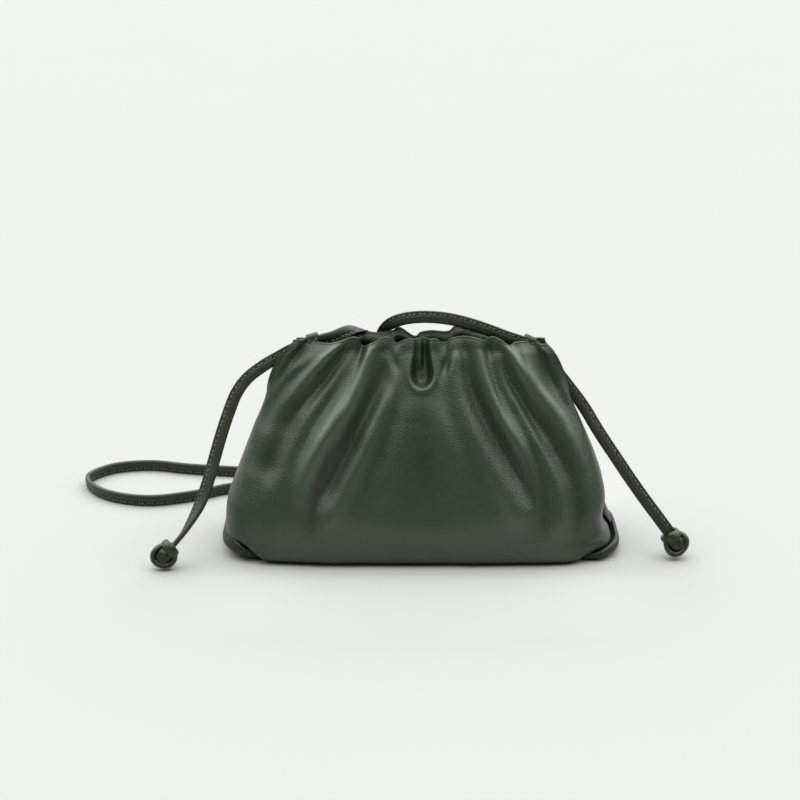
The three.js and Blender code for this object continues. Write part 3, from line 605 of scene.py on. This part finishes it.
# Each fold line from left to right. Columns: its place at each level as a share of the half width, its
# strength there, and how crisp its crest is. At the front the strength is how the fold's side leans, from
# 1, up to the light, to -1, away from it. At the back it is the rise as a share of the fold depth. The
# levels are shares of the rim height.
LEVELS = (1.0, 0.93, 0.85, 0.75, 0.65, 0.55, 0.45, 0.35, 0.25, 0.12)
BACK_DEPTHS = (0.0020, 0.0024, 0.0027, 0.0029, 0.0030, 0.0030, 0.0029, 0.0028, 0.0026, 0.0024)
FRONT_FOLDS = [
    ((-0.9, -0.91, -0.93, -0.965, -0.98, -0.985, -0.985, -0.985, -0.985, -0.985),
     (0.9, 1, 0.7, 0, 0, 0, 0, 0, 0, 0), 0),
    ((-0.74, -0.8, -0.885, -0.94, -0.962, -0.972, -0.972, -0.972, -0.972, -0.972),
     (0.3, 0.1, -0.5, -0.5, -0.2, 0, 0, 0, 0, 0), 0.3),
    ((-0.69, -0.755, -0.83, -0.895, -0.93, -0.945, -0.955, -0.96, -0.96, -0.96),
     (0.5, 0.6, 0.75, 0.6, 0.35, 0.2, 0.1, 0, 0, 0), 0),
    ((-0.6, -0.65, -0.73, -0.8, -0.85, -0.87, -0.885, -0.9, -0.91, -0.92),
     (-0.75, -0.85, -0.8, -0.6, -0.5, -0.45, -0.4, -0.2, 0, 0), 0),
    ((-0.55, -0.555, -0.61, -0.705, -0.765, -0.79, -0.805, -0.82, -0.84, -0.85),
     (0.35, 0.4, 0.5, 0.6, 0.7, 0.7, 0.6, 0.1, 0, 0), 0),
    ((-0.505, -0.515, -0.545, -0.615, -0.675, -0.71, -0.725, -0.73, -0.73, -0.74),
     (-0.5, -0.35, -0.25, -0.2, -0.1, 0, 0.05, -0.1, 0, 0), 0),
    ((-0.45, -0.46, -0.48, -0.52, -0.585, -0.64, -0.665, -0.66, -0.62, -0.62),
     (0.5, 0.85, 0.95, 1, 0.95, 0.85, 0.6, 0.3, 0.1, 0), 0),
    ((-0.35, -0.355, -0.37, -0.405, -0.455, -0.51, -0.55, -0.57, -0.585, -0.6),
     (-0.8, -0.95, -1, -1.1, -1.1, -1.05, -0.95, -0.7, -0.25, 0), 0),
    ((-0.25, -0.225, -0.2, -0.265, -0.325, -0.38, -0.43, -0.47, -0.495, -0.51),
     (0.8, 0.7, 0.6, 0.9, 1, 1, 1, 0.95, 0.7, 0), 0.5),
    ((-0.2, -0.178, -0.15, -0.185, -0.235, -0.275, -0.325, -0.375, -0.42, -0.47),
     (-0.7, -0.9, -0.7, -0.6, -0.5, -0.4, -0.3, -0.15, 0, 0), 0.4),
    ((-0.125, -0.125, -0.125, -0.12, -0.145, -0.185, -0.225, -0.275, -0.32, -0.34),
     (0.2, 0.2, 0.2, 0.25, 0.3, 0.3, 0.25, 0.15, 0.1, 0), 0),
    ((-0.06, -0.06, -0.06, -0.06, -0.08, -0.1, -0.12, -0.14, -0.15, -0.15),
     (0, 0, 0, 0, -0.1, -0.1, -0.1, -0.05, 0, 0), 0),
    ((0.08, 0.08, 0.08, 0.08, 0.1, 0.12, 0.14, 0.16, 0.17, 0.17),
     (0, 0, 0, 0, -0.1, -0.1, -0.1, -0.05, 0, 0), 0),
    ((0.145, 0.145, 0.145, 0.15, 0.175, 0.215, 0.265, 0.32, 0.37, 0.39),
     (0.2, 0.2, 0.2, 0.25, 0.3, 0.3, 0.25, 0.15, 0.1, 0), 0),
    ((0.195, 0.185, 0.205, 0.23, 0.265, 0.305, 0.355, 0.41, 0.45, 0.47),
     (-0.7, -0.9, -0.6, -0.35, -0.1, 0, 0, 0, 0, 0), 0.3),
    ((0.3, 0.32, 0.305, 0.33, 0.38, 0.44, 0.5, 0.545, 0.56, 0.565),
     (0.8, 0.75, 0.8, 1, 1, 1, 1, 0.95, 0.6, 0), 0.3),
    ((0.41, 0.412, 0.415, 0.435, 0.48, 0.54, 0.58, 0.595, 0.588, 0.58),
     (-0.8, -0.9, -1, -1.05, -1.05, -0.95, -0.7, -0.25, 0.4, 0), 0),
    ((0.53, 0.5, 0.505, 0.54, 0.582, 0.618, 0.638, 0.64, 0.62, 0.61),
     (0.5, 0.85, 1, 1, 1, 1, 0.95, 0.85, 0.5, 0), 0),
    ((0.58, 0.56, 0.56, 0.59, 0.632, 0.668, 0.692, 0.7, 0.695, 0.7),
     (-0.8, -0.9, -0.85, -0.7, -0.5, -0.4, -0.5, -0.5, -0.3, 0), 0),
    ((0.62, 0.6, 0.602, 0.645, 0.69, 0.735, 0.766, 0.78, 0.785, 0.787),
     (0.5, 0.5, 0.6, 0.75, 0.85, 0.9, 0.9, 0.9, 0.8, 0.2), 0),
    ((0.7, 0.68, 0.695, 0.745, 0.805, 0.845, 0.862, 0.866, 0.868, 0.875),
     (-0.95, -1.05, -1.1, -1.05, -0.95, -0.75, -0.6, -0.45, -0.3, 0), 0),
    ((0.79, 0.79, 0.83, 0.885, 0.93, 0.94, 0.938, 0.935, 0.93, 0.935),
     (0.7, 0.9, 0.9, 0.8, 0.6, 0.4, 0.3, 0.2, 0.15, 0), 0),
    ((0.88, 0.9, 0.93, 0.955, 0.97, 0.975, 0.975, 0.975, 0.975, 0.975),
     (0.6, 0.7, 0.4, 0.1, 0, 0, 0, 0, 0, 0), 0),
]
BACK_FOLDS = [
    ((-0.8, -0.83, -0.86, -0.89, -0.92, -0.93, -0.94, -0.945, -0.95, -0.95),
     (0, 0.1, 0.1, 0.1, 0.1, 0, 0, 0, 0, 0), 0),
    ((-0.66, -0.68, -0.7, -0.74, -0.78, -0.81, -0.84, -0.85, -0.86, -0.87),
     (0, 0.6, 0.8, 0.8, 0.7, 0.5, 0.3, 0.1, 0, 0), 0),
    ((-0.54, -0.545, -0.55, -0.58, -0.62, -0.65, -0.68, -0.7, -0.72, -0.74),
     (-0.6, -0.7, -0.7, -0.6, -0.5, -0.3, -0.2, -0.1, 0, 0), 0),
    ((-0.49, -0.48, -0.47, -0.48, -0.5, -0.52, -0.54, -0.56, -0.58, -0.6),
     (0, 0.2, 0.4, 0.5, 0.6, 0.5, 0.4, 0.2, 0.1, 0), 0),
    ((-0.38, -0.36, -0.34, -0.325, -0.31, -0.3, -0.29, -0.28, -0.27, -0.26),
     (-1, -1, -1, -0.95, -0.9, -0.8, -0.7, -0.5, -0.3, 0), 0),
    ((-0.2, -0.185, -0.17, -0.155, -0.14, -0.12, -0.1, -0.08, -0.06, -0.04),
     (0.3, 0.5, 0.6, 0.6, 0.6, 0.5, 0.4, 0.25, 0.1, 0), 0.2),
    ((-0.04, -0.03, -0.02, 0, 0.02, 0.04, 0.06, 0.08, 0.1, 0.1),
     (-0.9, -0.85, -0.8, -0.6, -0.4, -0.25, -0.1, 0, 0, 0), 0.1),
    ((0.1, 0.11, 0.12, 0.145, 0.17, 0.195, 0.22, 0.24, 0.26, 0.28),
     (0.3, 0.65, 0.9, 0.8, 0.7, 0.55, 0.4, 0.2, 0.1, 0), 0.2),
    ((0.22, 0.235, 0.25, 0.28, 0.31, 0.34, 0.37, 0.4, 0.42, 0.44),
     (-0.6, -0.85, -0.9, -0.75, -0.6, -0.45, -0.3, -0.1, 0, 0), 0.1),
    ((0.34, 0.36, 0.38, 0.42, 0.46, 0.5, 0.53, 0.56, 0.58, 0.6),
     (0.4, 0.7, 0.9, 0.85, 0.8, 0.6, 0.4, 0.2, 0.1, 0), 0.2),
    ((0.45, 0.475, 0.5, 0.55, 0.6, 0.64, 0.67, 0.7, 0.72, 0.74),
     (-0.7, -0.75, -0.8, -0.65, -0.5, -0.35, -0.2, -0.1, 0, 0), 0),
    ((0.58, 0.62, 0.66, 0.72, 0.77, 0.8, 0.83, 0.85, 0.86, 0.87),
     (0, 0.5, 0.7, 0.65, 0.6, 0.45, 0.3, 0.1, 0, 0), 0),
    ((0.8, 0.83, 0.86, 0.89, 0.92, 0.93, 0.94, 0.945, 0.95, 0.95),
     (0, 0, 0, 0, 0, 0, 0, 0, 0, 0), 0),
]

# How steep the front folds' sides are, in the light and in the shade, how fast a weak lean grows, how
# round the crests are, how far apart folds still count as one swell, and the height of a full ridge.
FOLD_SLOPE = 0.80
SHADE_SLOPE = 1.05
LEAN_GAIN = 1.45
FOLD_SOFTNESS = 0.0030
FOLD_SPREAD = 0.17
FULL_RIDGE = 0.004

# The pocket of the front's middle pleat: its place, the radii where it is deepest and where it starts, the
# height of its round foot, its depth, the lip round it, and the upright fold that stands inside it.
POCKET_PLACE = 0.0006
POCKET_INSIDE = 0.0022
POCKET_OUTSIDE = 0.0078
POCKET_FOOT = 0.1106
POCKET_DEPTH = 0.0056
POCKET_LIP = 0.0010
POCKET_LIP_WIDTH = 0.0018
INNER_FOLD_PLACE = -0.0012
INNER_FOLD_WIDTH = 0.0014
INNER_FOLD_RISE = 0.0044
INNER_FOLD_FOOT = 0.1140
INNER_FOLD_TOP = 0.1190

# Puffs and pinches between the folds. Columns: share of the half width, share of the height, reach along
# and across in metres, lean of the long way from upright in degrees, and rise in metres.
FRONT_PUFFS = [
    (-0.495, 0.265, 0.009, 0.0075, 25, 0.0012),
    (0.56, 0.255, 0.008, 0.009, -15, 0.0012),
    (0.783, 0.2, 0.0085, 0.007, -8, 0.0012),
    (0, 0.17, 0.012, 0.06, 0, 0.001),
    (-0.455, 0.985, 0.01, 0.003, 10, -0.0036),
    (-0.185, 0.93, 0.006, 0.0026, -14, -0.003),
    (-0.215, 1.01, 0.006, 0.0028, 0, -0.0024),
    (0.19, 0.93, 0.006, 0.0026, 14, -0.003),
    (0.19, 1.01, 0.006, 0.0028, 0, -0.0028),
    (0.535, 0.99, 0.006, 0.0022, -10, -0.002),
    (0.735, 0.985, 0.01, 0.003, -22, -0.0036),
]
BACK_PUFFS = [(0, 0.2, 0.02, 0.07, 0, 0.0012)]


def smooth_at(stations, values, place):
    """A smooth curve through the values, read at each place."""
    xs, ys = np.array(stations, float), np.array(values, float)
    if xs[0] > xs[-1]:
        xs, ys = xs[::-1], ys[::-1]
    x = np.clip(place, xs[0], xs[-1])
    k = np.clip(np.searchsorted(xs, x, side="right") - 1, 0, len(xs) - 2)
    before, after = np.maximum(np.arange(len(xs)) - 1, 0), np.minimum(np.arange(len(xs)) + 1, len(xs) - 1)
    slope = (ys[after] - ys[before]) / (xs[after] - xs[before])
    span = xs[k + 1] - xs[k]
    t = (x - xs[k]) / span
    rest = 1 - t
    return (rest * rest * ((1 + 2 * t) * ys[k] + t * span * slope[k])
            + t * t * ((1 + 2 * rest) * ys[k + 1] - rest * span * slope[k + 1]))


def smoothstep(x, low, high):
    """0 below low, 1 above high, and a smooth climb between."""
    t = np.clip((x - low) / (high - low), 0, 1)
    return t * t * (3 - 2 * t)


def line_at(line, share):
    """Height of an upper or lower edge at each share of the half width."""
    places, heights = zip(*line)
    return smooth_at(places, heights, share)


def section_sizes(z, side, share=0.0):
    """At a height: half width and depth, squareness, tuck, turn, and half of the gap between the panels."""
    def read(column):
        return smooth_at(SECTIONS[:, 0], SECTIONS[:, column], z / RIM_HEIGHT)

    width = read(3) if side == "back" else np.where(share < 0, read(1), read(2))
    half_width = (MOUTH_WIDTH + (BAG_WIDTH - MOUTH_WIDTH) * width) / 2
    half_depth = (MOUTH_DEPTH + (BAG_DEPTH - MOUTH_DEPTH) * read(4)) / 2
    edge = (PIECE_GAP + (NOTCH_GAP - PIECE_GAP) * smoothstep(z, NOTCH_FOOT, NOTCH_TOP)) / 2
    return half_width, half_depth, read(5), SIDE_TUCK * read(6), np.clip(read(7), 0, 1), edge


def section_point(share, tuck, z, side):
    """Points of the smooth body: share runs over the face to the corner, tuck into the turned-in edge."""
    half_width, half_depth, square, tuck_depth, turn, edge = section_sizes(z, side, share)
    sign = np.where(share < 0, -1.0, 1.0)
    size = np.abs(share)
    rounding = np.minimum(SIDE_ROUND, half_depth / 2)
    free_share = size * 0.95 + tuck * 0.05
    free_x = half_width * free_share
    free_y = edge + (half_depth - edge) * (1 - free_share ** 3)
    angle = tuck * math.pi / 2
    corner = edge + rounding
    bow = np.maximum(1 - np.minimum(size, 1) ** square, 0) ** (1 / square)
    face_y = corner + (half_depth - corner) * bow
    turned_x = np.where(tuck > 0, half_width - tuck_depth * (1 - np.cos(angle)), half_width * size)
    turned_y = np.where(tuck > 0, corner - rounding * np.sin(angle), face_y)
    x = free_x + (turned_x - free_x) * turn
    y = free_y + (turned_y - free_y) * turn
    return np.stack([sign * x, -y if side == "front" else y, z], axis=-1)


def fold_columns(folds, levels, per_fold):
    """Share, strength and tuck of every column of the mesh at every level."""
    at = np.array([smooth_at(LEVELS, places, levels) for places, _, _ in folds])
    rise = np.array([smooth_at(LEVELS, rises, levels) for _, rises, _ in folds])
    crisp = [c for _, _, c in folds]

    def end(last, last_rise, sign):
        """The columns past the last fold: round the corner, then along the turned-in edge."""
        rows = []
        start = np.arcsin(np.clip(last ** 2, 0, 1))
        for i in range(1, CORNER_COLUMNS + 1):
            f = i / CORNER_COLUMNS
            angle = start + (math.pi / 2 - start) * f
            rows.append((sign * np.sqrt(np.sin(angle)), last_rise * (1 - f) ** 2 * (1 + 2 * f), 0 * last))
        for i in range(1, TUCK_COLUMNS + 1):
            rows.append((sign + 0 * last, 0 * last, i / TUCK_COLUMNS + 0 * last))
        return rows

    columns = end(at[0], rise[0], -1)[::-1]
    for i in range(len(folds) - 1):
        for k in range(per_fold):
            t = k / per_fold
            bend = (3 * t ** 2 - 2 * t ** 3 + crisp[i] * (t ** 3 - 2 * t ** 2 + t)
                    + crisp[i + 1] * (t ** 3 - t ** 2))
            columns.append((at[i] + (at[i + 1] - at[i]) * t,
                            rise[i] + (rise[i + 1] - rise[i]) * bend, 0 * at[i]))
    columns.append((at[-1], rise[-1], 0 * at[-1]))
    columns += end(at[-1], rise[-1], 1)
    return tuple(np.array([c[k] for c in columns]) for k in range(3))


def leaned(tone, share, half_width):
    """Heights of folds whose sides lean by the given tones, level with the smooth body on the whole."""
    x = share * half_width
    full = np.clip(tone, -1, 1)
    steep = (FOLD_SLOPE + SHADE_SLOPE) / 2 - (SHADE_SLOPE - FOLD_SLOPE) / 2 * full
    lean = full * (LEAN_GAIN - (LEAN_GAIN - 1) * full ** 2) * steep * np.where(share < 0, 1.0, -1.0)
    weight = np.abs(np.gradient(x, axis=0)) + 1e-6
    height = np.empty_like(lean)
    for j in range(x.shape[1]):
        apart = x[:, None, j] - x[None, :, j]
        close = np.exp(-(apart / FOLD_SOFTNESS) ** 2) * weight[None, :, j]
        soft = close @ lean[:, j] / close.sum(axis=1)
        run = np.concatenate([[0.0], np.cumsum((soft[1:] + soft[:-1]) / 2 * np.diff(x[:, j]))])
        near = np.exp(-(apart / (FOLD_SPREAD * half_width[0, j])) ** 2) * weight[None, :, j]
        height[:, j] = run - near @ run / near.sum(axis=1)
    return height


def pocket(smooth):
    """The middle pleat: a pocket drawn together at the rim, with a round lip and one fold in it."""
    dx, z = smooth[..., 0] - POCKET_PLACE, smooth[..., 2]
    drawn = 1 + 0.40 * smoothstep(z, POCKET_FOOT, RIM_HEIGHT)
    away = np.hypot(dx * drawn, np.minimum(z - POCKET_FOOT, 0) * 0.9)
    sunk = -POCKET_DEPTH * (1 - smoothstep(away, POCKET_INSIDE, POCKET_OUTSIDE))
    shallower = 1 - 0.25 * smoothstep(z, 0.118, 0.128)
    lip = POCKET_LIP * np.exp(-((away - POCKET_OUTSIDE) / POCKET_LIP_WIDTH) ** 2)
    inner = (INNER_FOLD_RISE * np.exp(-((dx - INNER_FOLD_PLACE) / INNER_FOLD_WIDTH) ** 2)
             * smoothstep(z, INNER_FOLD_FOOT, INNER_FOLD_TOP))
    return sunk * shallower + lip + inner


def puffed(smooth, puffs):
    """Rise of the puffs and pinches at each point of the smooth body."""
    total = np.zeros(smooth.shape[:2])
    for share, height, along, across, lean, rise in puffs:
        z = height * RIM_HEIGHT
        half_width = float(section_sizes(np.array(z), "front", np.array(share))[0])
        dx, dz = smooth[..., 0] - share * half_width, smooth[..., 2] - z
        lean = math.radians(lean)
        run = dz * math.cos(lean) + dx * math.sin(lean)
        side = dx * math.cos(lean) - dz * math.sin(lean)
        total += rise * np.exp(-(run / along) ** 2 - (side / across) ** 2)
    return total


# The long crossing waves of slack leather: how many, their shortest and longest length, and their height
# as a share of the length.
SLACK_WAVES = 14
SLACK_LENGTHS = (0.012, 0.05)
SLACK_RISE = 0.0022


def slack(smooth, seed):
    """Slight unevenness of soft leather."""
    draw = np.random.RandomState(seed)
    total = np.zeros(smooth.shape[:2])
    for _ in range(SLACK_WAVES):
        length = draw.uniform(*SLACK_LENGTHS)
        way = draw.uniform(0, math.pi)
        start = draw.uniform(0, 2 * math.pi)
        run = smooth[..., 0] * math.cos(way) + smooth[..., 2] * math.sin(way)
        total += SLACK_RISE * length * np.sin(2 * math.pi * run / length + start)
    return total


def gathered_panel(name, side, folds, puffs, rim_line, per_fold, rows, seed):
    """The gathered leather wall: outer and inner faces, the rolled rim and the cut edges."""
    up = np.linspace(0, 1, rows)
    up = up + 0.06 * np.sin(math.pi * up) * (1 - up)
    share, rise, tuck = fold_columns(folds, up, per_fold)
    foot = line_at(FOOT_LINE, share)
    rim = RIM_HEIGHT + line_at(rim_line, share)
    z = foot + (rim - foot) * up[None, :]
    smooth = section_point(share, tuck, z, side)
    normal = np.cross(np.gradient(smooth, axis=0), np.gradient(smooth, axis=1))
    normal /= np.linalg.norm(normal, axis=2)[..., None]
    from_middle, face = np.abs(share), tuck <= 0
    if side == "front":
        half_width = section_sizes(z, side, share)[0]
        fold = leaned(rise, share, half_width) * (1 - smoothstep(from_middle, 0.93, 1.0)) * face
        fold += pocket(smooth)
        rise = fold / FULL_RIDGE
        flare = -1.0
    else:
        normal = -normal
        fold = rise * smooth_at(LEVELS, BACK_DEPTHS, z / RIM_HEIGHT)
        flare = BACK_RIM_FLARE * (1 - smoothstep(from_middle, 0.70, 0.88))
    fold = fold + (puffed(smooth, puffs) + slack(smooth, seed)) * face

    below = rim - z
    rolled = np.clip(1 - below / RIM_ROLL_DEPTH, 0, 1) ** 2
    turned_under = np.clip(1 - (z - foot) / FOOT_ROLL_HEIGHT, 0, 1) ** 2
    turned_under *= 1 - 0.85 * smoothstep(from_middle, 0.78, 0.98)
    level_normal = normal * (1, 1, 0)
    outer = (smooth + normal * (fold + RIM_ROLL * rolled * flare)[..., None]
             - level_normal * (FOOT_ROLL * turned_under)[..., None])
    hem = HEM_LEATHER * (1 - smoothstep(below, HEM_DEPTH * 0.8, HEM_DEPTH))
    inner = outer - normal * (LEATHER + hem - RIM_THINNING * rolled)[..., None]
    middle = (outer[:, -1] + inner[:, -1]) / 2
    half = (outer[:, -1] - inner[:, -1]) / 2
    top = np.array([0, 0, LEATHER / 2])
    arc = [middle + half * math.cos(a) + top * math.sin(a)
           for a in np.linspace(0, math.pi, RIM_ARC)[1:-1]]
    sheet = np.concatenate([outer] + [a[:, None, :] for a in arc] + [inner[:, ::-1]], axis=1)
    count, around = sheet.shape[:2]
    faces = []

    def add(face, flip=False):
        faces.append(face[::-1] if flip != (side == "back") else face)

    for quad in ring_faces(count, around):
        add(quad)
    for i, flip in ((0, True), (count - 1, False)):
        for j in range(around // 2 - 1):
            a, b = i * around + j, i * around + around - 1 - j
            add((a, b, b - 1, a + 1) if a + 1 != b - 1 else (a, b, a + 1), flip)
    piece = mesh_piece(name, sheet.reshape(-1, 3), faces)
    # The rise attribute carries the painted light of the ridges and the painted shade of the valleys; the
    # inner face gets the painted shade of a deep valley.
    rises = np.concatenate([rise] + [rise[:, -1:]] * len(arc) + [np.full_like(rise, INSIDE_SHADE_RISE)], axis=1)
    piece.data.attributes.new("rise", "FLOAT", "POINT").data.foreach_set("value", rises.ravel())
    return piece


PANEL_DEEP = (0.0055, 0.0140, 0.0036, 1)
PANEL_LIGHT = (0.0190, 0.0375, 0.0140, 1)
# The panels' leather, with painted light on the fold ridges and painted shade in the valleys and on the
# inner face.
panel_leather = leather("panel_leather", PANEL_DEEP, PANEL_LIGHT, roughness=0.38, shine=0.50,
                        grain=0.0004, folds=True)
front = gathered_panel("front_panel_leather", "front", FRONT_FOLDS, FRONT_PUFFS, FRONT_RIM,
                       per_fold=9, rows=130, seed=5)
back = gathered_panel("back_panel_leather", "back", BACK_FOLDS, BACK_PUFFS, BACK_RIM,
                      per_fold=14, rows=110, seed=9)
for piece, node in ((front, "front_panel"), (back, "back_panel")):
    piece.data.materials.append(panel_leather)
    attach(piece, "root")
    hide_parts(node)

# Base
# One piece of the same leather: a flat oblong bottom, drawn in under the panels along the two long sides,
# whose ends turn up and stand out a little beyond the panels that are sewn to it.
BASE_THICKNESS = 0.002
BASE_LIP = 0.0009
BASE_INSET = 0.0090
BASE_BULGE = 0.0018
BASE_EDGE_ROUND = 0.0022
BASE_LEFT_ROUND = 0.0145
BASE_RIGHT_ROUND = 0.0070
BASE_CURVE_TOP = 0.72
BASE_EDGE_CROWN = 0.0005
BASE_FLAT = BAG_DEPTH * 0.25
BASE_SPOKES = 320


def base_ring(level=0.0, part=0.0, rounding=0.0, inset=0.0):
    """A line round the tray, at a level plus a part of the wall. Rounding and inset draw it in."""
    angle = np.linspace(0, 2 * math.pi, BASE_SPOKES, endpoint=False)
    across, deep = np.cos(angle), np.sin(angle)
    share = np.sign(across) * np.sqrt(np.abs(across))
    wall = np.maximum(BASE_THICKNESS + BASE_LIP, line_at(FOOT_LINE, share) - PIECE_GAP)
    z = level + part * wall
    half_width, half_depth = section_sizes(z, "back")[:2]
    ends = smoothstep(np.abs(share), 0.79, 0.9)
    end_round = np.where(share < 0, BASE_LEFT_ROUND, BASE_RIGHT_ROUND)
    corner = BASE_EDGE_ROUND + (end_round - BASE_EDGE_ROUND) * ends
    bulge = BASE_BULGE * ends - BASE_INSET * (1 - ends) - inset - corner * rounding
    x = share * (half_width + bulge)
    y = np.sign(deep) * np.sqrt(np.abs(deep)) * (half_depth + bulge)
    return np.stack([x, y, z], axis=1)


def base_tray():
    """The tray: flat underside, rounded corner, wall, rounded edge, and the same again inside."""
    rings = [base_ring(inset=BASE_FLAT), base_ring(rounding=1.3)]
    for turn in np.linspace(0.08, 1, 10) * math.pi / 2:
        rings.append(base_ring(part=BASE_CURVE_TOP * (1 - math.cos(turn)), rounding=1 - math.sin(turn)))
    for part in np.linspace(BASE_CURVE_TOP, 1, 5)[1:]:
        rings.append(base_ring(part=part))
    for a in np.linspace(0, math.pi, 6)[1:-1]:
        rings.append(base_ring(BASE_EDGE_CROWN * math.sin(a), part=1,
                               inset=BASE_THICKNESS / 2 * (1 - math.cos(a))))
    rings.append(base_ring(part=1, inset=BASE_THICKNESS))
    rings.append(base_ring(BASE_THICKNESS, part=0.4, inset=BASE_THICKNESS, rounding=0.5))
    rings.append(base_ring(BASE_THICKNESS, inset=BASE_THICKNESS, rounding=1.2))
    rings.append(base_ring(BASE_THICKNESS, inset=BASE_FLAT))
    points, faces = skin_rings([list(ring) for ring in rings])
    return mesh_piece("base_leather_tray", points, faces)


# Painted shade: the base is the panels' leather painted darker, as it stands in shade under the panels.
BASE_SHADED_DEEP = (0.0074, 0.0154, 0.0052, 1)
BASE_SHADED_LIGHT = (0.0098, 0.0208, 0.0068, 1)
base = base_tray()
base.data.materials.append(leather("base_leather", BASE_SHADED_DEEP, BASE_SHADED_LIGHT, roughness=0.5, shine=0.34))
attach(base, "root")
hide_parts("base")

# Keepers
# A short loop of the strap's leather inside each end of the mouth, sewn to the back panel, with the strap
# drawn through it.
KEEPER_LENGTH = 0.007
KEEPER_LEATHER = 0.0012
KEEPER_CLEARANCE = 0.0006
KEEPER_SQUARENESS = 0.6
KEEPER_SIDES = 48

# Lines round the loop, outside from end to end and then inside: share of the leather's thickness that is
# left there, and place along the loop.
KEEPER_RINGS = [(0.75, -0.5), (0.93, -0.48), (1.0, -0.43), (0.97, 0.0), (1.0, 0.43), (0.93, 0.48),
                (0.75, 0.5), (0.0, 0.5), (0.0, -0.5)]

# Stitches near both ends: three down the front face and one on the top.
KEEPER_SEAMS = (-0.3, 0.3)
KEEPER_FACE_STITCHES = (-0.55, -0.05, 0.45)
KEEPER_TOP_STITCH = -0.3
keeper_leather = leather("keeper_leather", STRAP_DEEP, STRAP_LIGHT, roughness=0.4)


def keeper(name, node, centre, slope):
    """A keeper with its stitches, round the strap where the strap slopes down to the right by slope."""
    half_height = STRAP_WIDTH / 2 + KEEPER_CLEARANCE + KEEPER_LEATHER
    half_depth = STRAP_THICKNESS / 2 + KEEPER_CLEARANCE + KEEPER_LEATHER
    along = np.array([math.cos(slope), 0, -math.sin(slope)])
    upright = np.array([math.sin(slope), 0, math.cos(slope)])
    toward = np.array([0.0, 1.0, 0.0])
    centre, sides = np.array(centre), KEEPER_SIDES
    points = []
    for size, reach in KEEPER_RINGS:
        inset = KEEPER_LEATHER * (1 - size)
        for k in range(sides):
            a = 2 * math.pi * k / sides
            c, s = math.cos(a), math.sin(a)
            u = math.copysign(abs(c) ** KEEPER_SQUARENESS, c) * (half_height - inset)
            v = math.copysign(abs(s) ** KEEPER_SQUARENESS, s) * (half_depth - inset)
            points.append(centre + along * reach * KEEPER_LENGTH + upright * u + toward * v)
    piece = mesh_piece(name, points, ring_faces(len(KEEPER_RINGS), sides, closed=True))
    piece.data.materials.append(keeper_leather)
    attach(piece, "root")
    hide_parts(node)

    sewn, sewn_faces = [], []
    for reach in KEEPER_SEAMS:
        seam = centre + along * reach * KEEPER_LENGTH
        for u in KEEPER_FACE_STITCHES:
            add_stitch(sewn, sewn_faces, seam + upright * u * half_height - toward * half_depth,
                       upright, along, -toward)
        on_top = seam + upright * half_height + toward * KEEPER_TOP_STITCH * half_depth
        add_stitch(sewn, sewn_faces, on_top, toward, along, upright)
    stitches = mesh_piece(name + "_stitches", sewn, sewn_faces)
    stitches.data.materials.append(strap_thread)
    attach(stitches, "root")


for side, slope in (("left", -0.28), ("right", 0.42)):
    low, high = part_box(side + "_keeper")
    keeper(side + "_keeper_loop", side + "_keeper", [(a + b) / 2 for a, b in zip(low, high)], slope)

# Floor and light
# A plain pale floor, and no lamps: the studio glows all round. It is bright overhead, from both sides and
# from behind, and dark low down, so the leather shines where it faces up and darkens where it faces down.
FLOOR_SIZE = 16
FLOOR_PAINT = (0.338, 0.342, 0.332, 1)
FLOOR_NEAR_PAINT = (0.410, 0.415, 0.403, 1)

# The floor round the bag is a little paler, to make up for the light that the bag takes: how far it
# reaches and fades, and where it starts beside the bag.
NEAR_REACH = 0.150
NEAR_SIDE_FADE = 0.060
NEAR_FRONT_FADE = 0.090
NEAR_START = 0.048
NEAR_START_FADE = 0.020

bpy.ops.mesh.primitive_plane_add(size=FLOOR_SIZE, location=(0, 0, 0))
floor = bpy.context.object
floor.name = "floor"
material, place = blank_finish("pale_floor")
speckle = noise(place, Scale=6, Detail=2)
aside = (axis_of(place, "X") ** 2) ** 0.5
before = (axis_of(place, "Y") ** 2) ** 0.5
near = (clamp((NEAR_REACH - aside) / NEAR_SIDE_FADE) * clamp((NEAR_REACH - before) / NEAR_FRONT_FADE)
        * clamp((before - NEAR_START) / NEAR_START_FADE))
paint = dye(speckle * 0.05 + near * 0.75, FLOOR_PAINT, FLOOR_NEAR_PAINT)
surface(place, {"Base Color": paint, "Roughness": 0.9, "Specular IOR Level": 0.1})
floor.data.materials.append(material)

# The glow by direction: each row is how high and how far to the side or back it is, and how bright.
GLOW = [(0.0, 0.02), (0.38, 0.04), (0.58, 0.35), (0.78, 1.0)]
GLOW_STRENGTH = 3.6

world = bpy.data.worlds.new("studio")
bpy.context.scene.world = world
world.use_nodes = True
tree = world.node_tree
tree.nodes.clear()
direction = Wire(tree).node("ShaderNodeTexCoord", output="Generated")
sideways = direction.node("ShaderNodeMath", {"operation": "ABSOLUTE"}, {0: axis_of(direction, "X")})
reach = axis_of(direction, "Z") * 0.92 + sideways * 0.24 + axis_of(direction, "Y") * 0.25
stops = [(at, (bright, bright, bright, 1)) for at, bright in GLOW]
glow = direction.node("ShaderNodeValToRGB", {"stops": stops}, {"Fac": reach})
backdrop = direction.node("ShaderNodeBackground", {}, {"Color": glow, "Strength": GLOW_STRENGTH})
direction.node("ShaderNodeOutputWorld", {}, {"Surface": backdrop})
bpy.context.scene.view_settings.view_transform = "Standard"
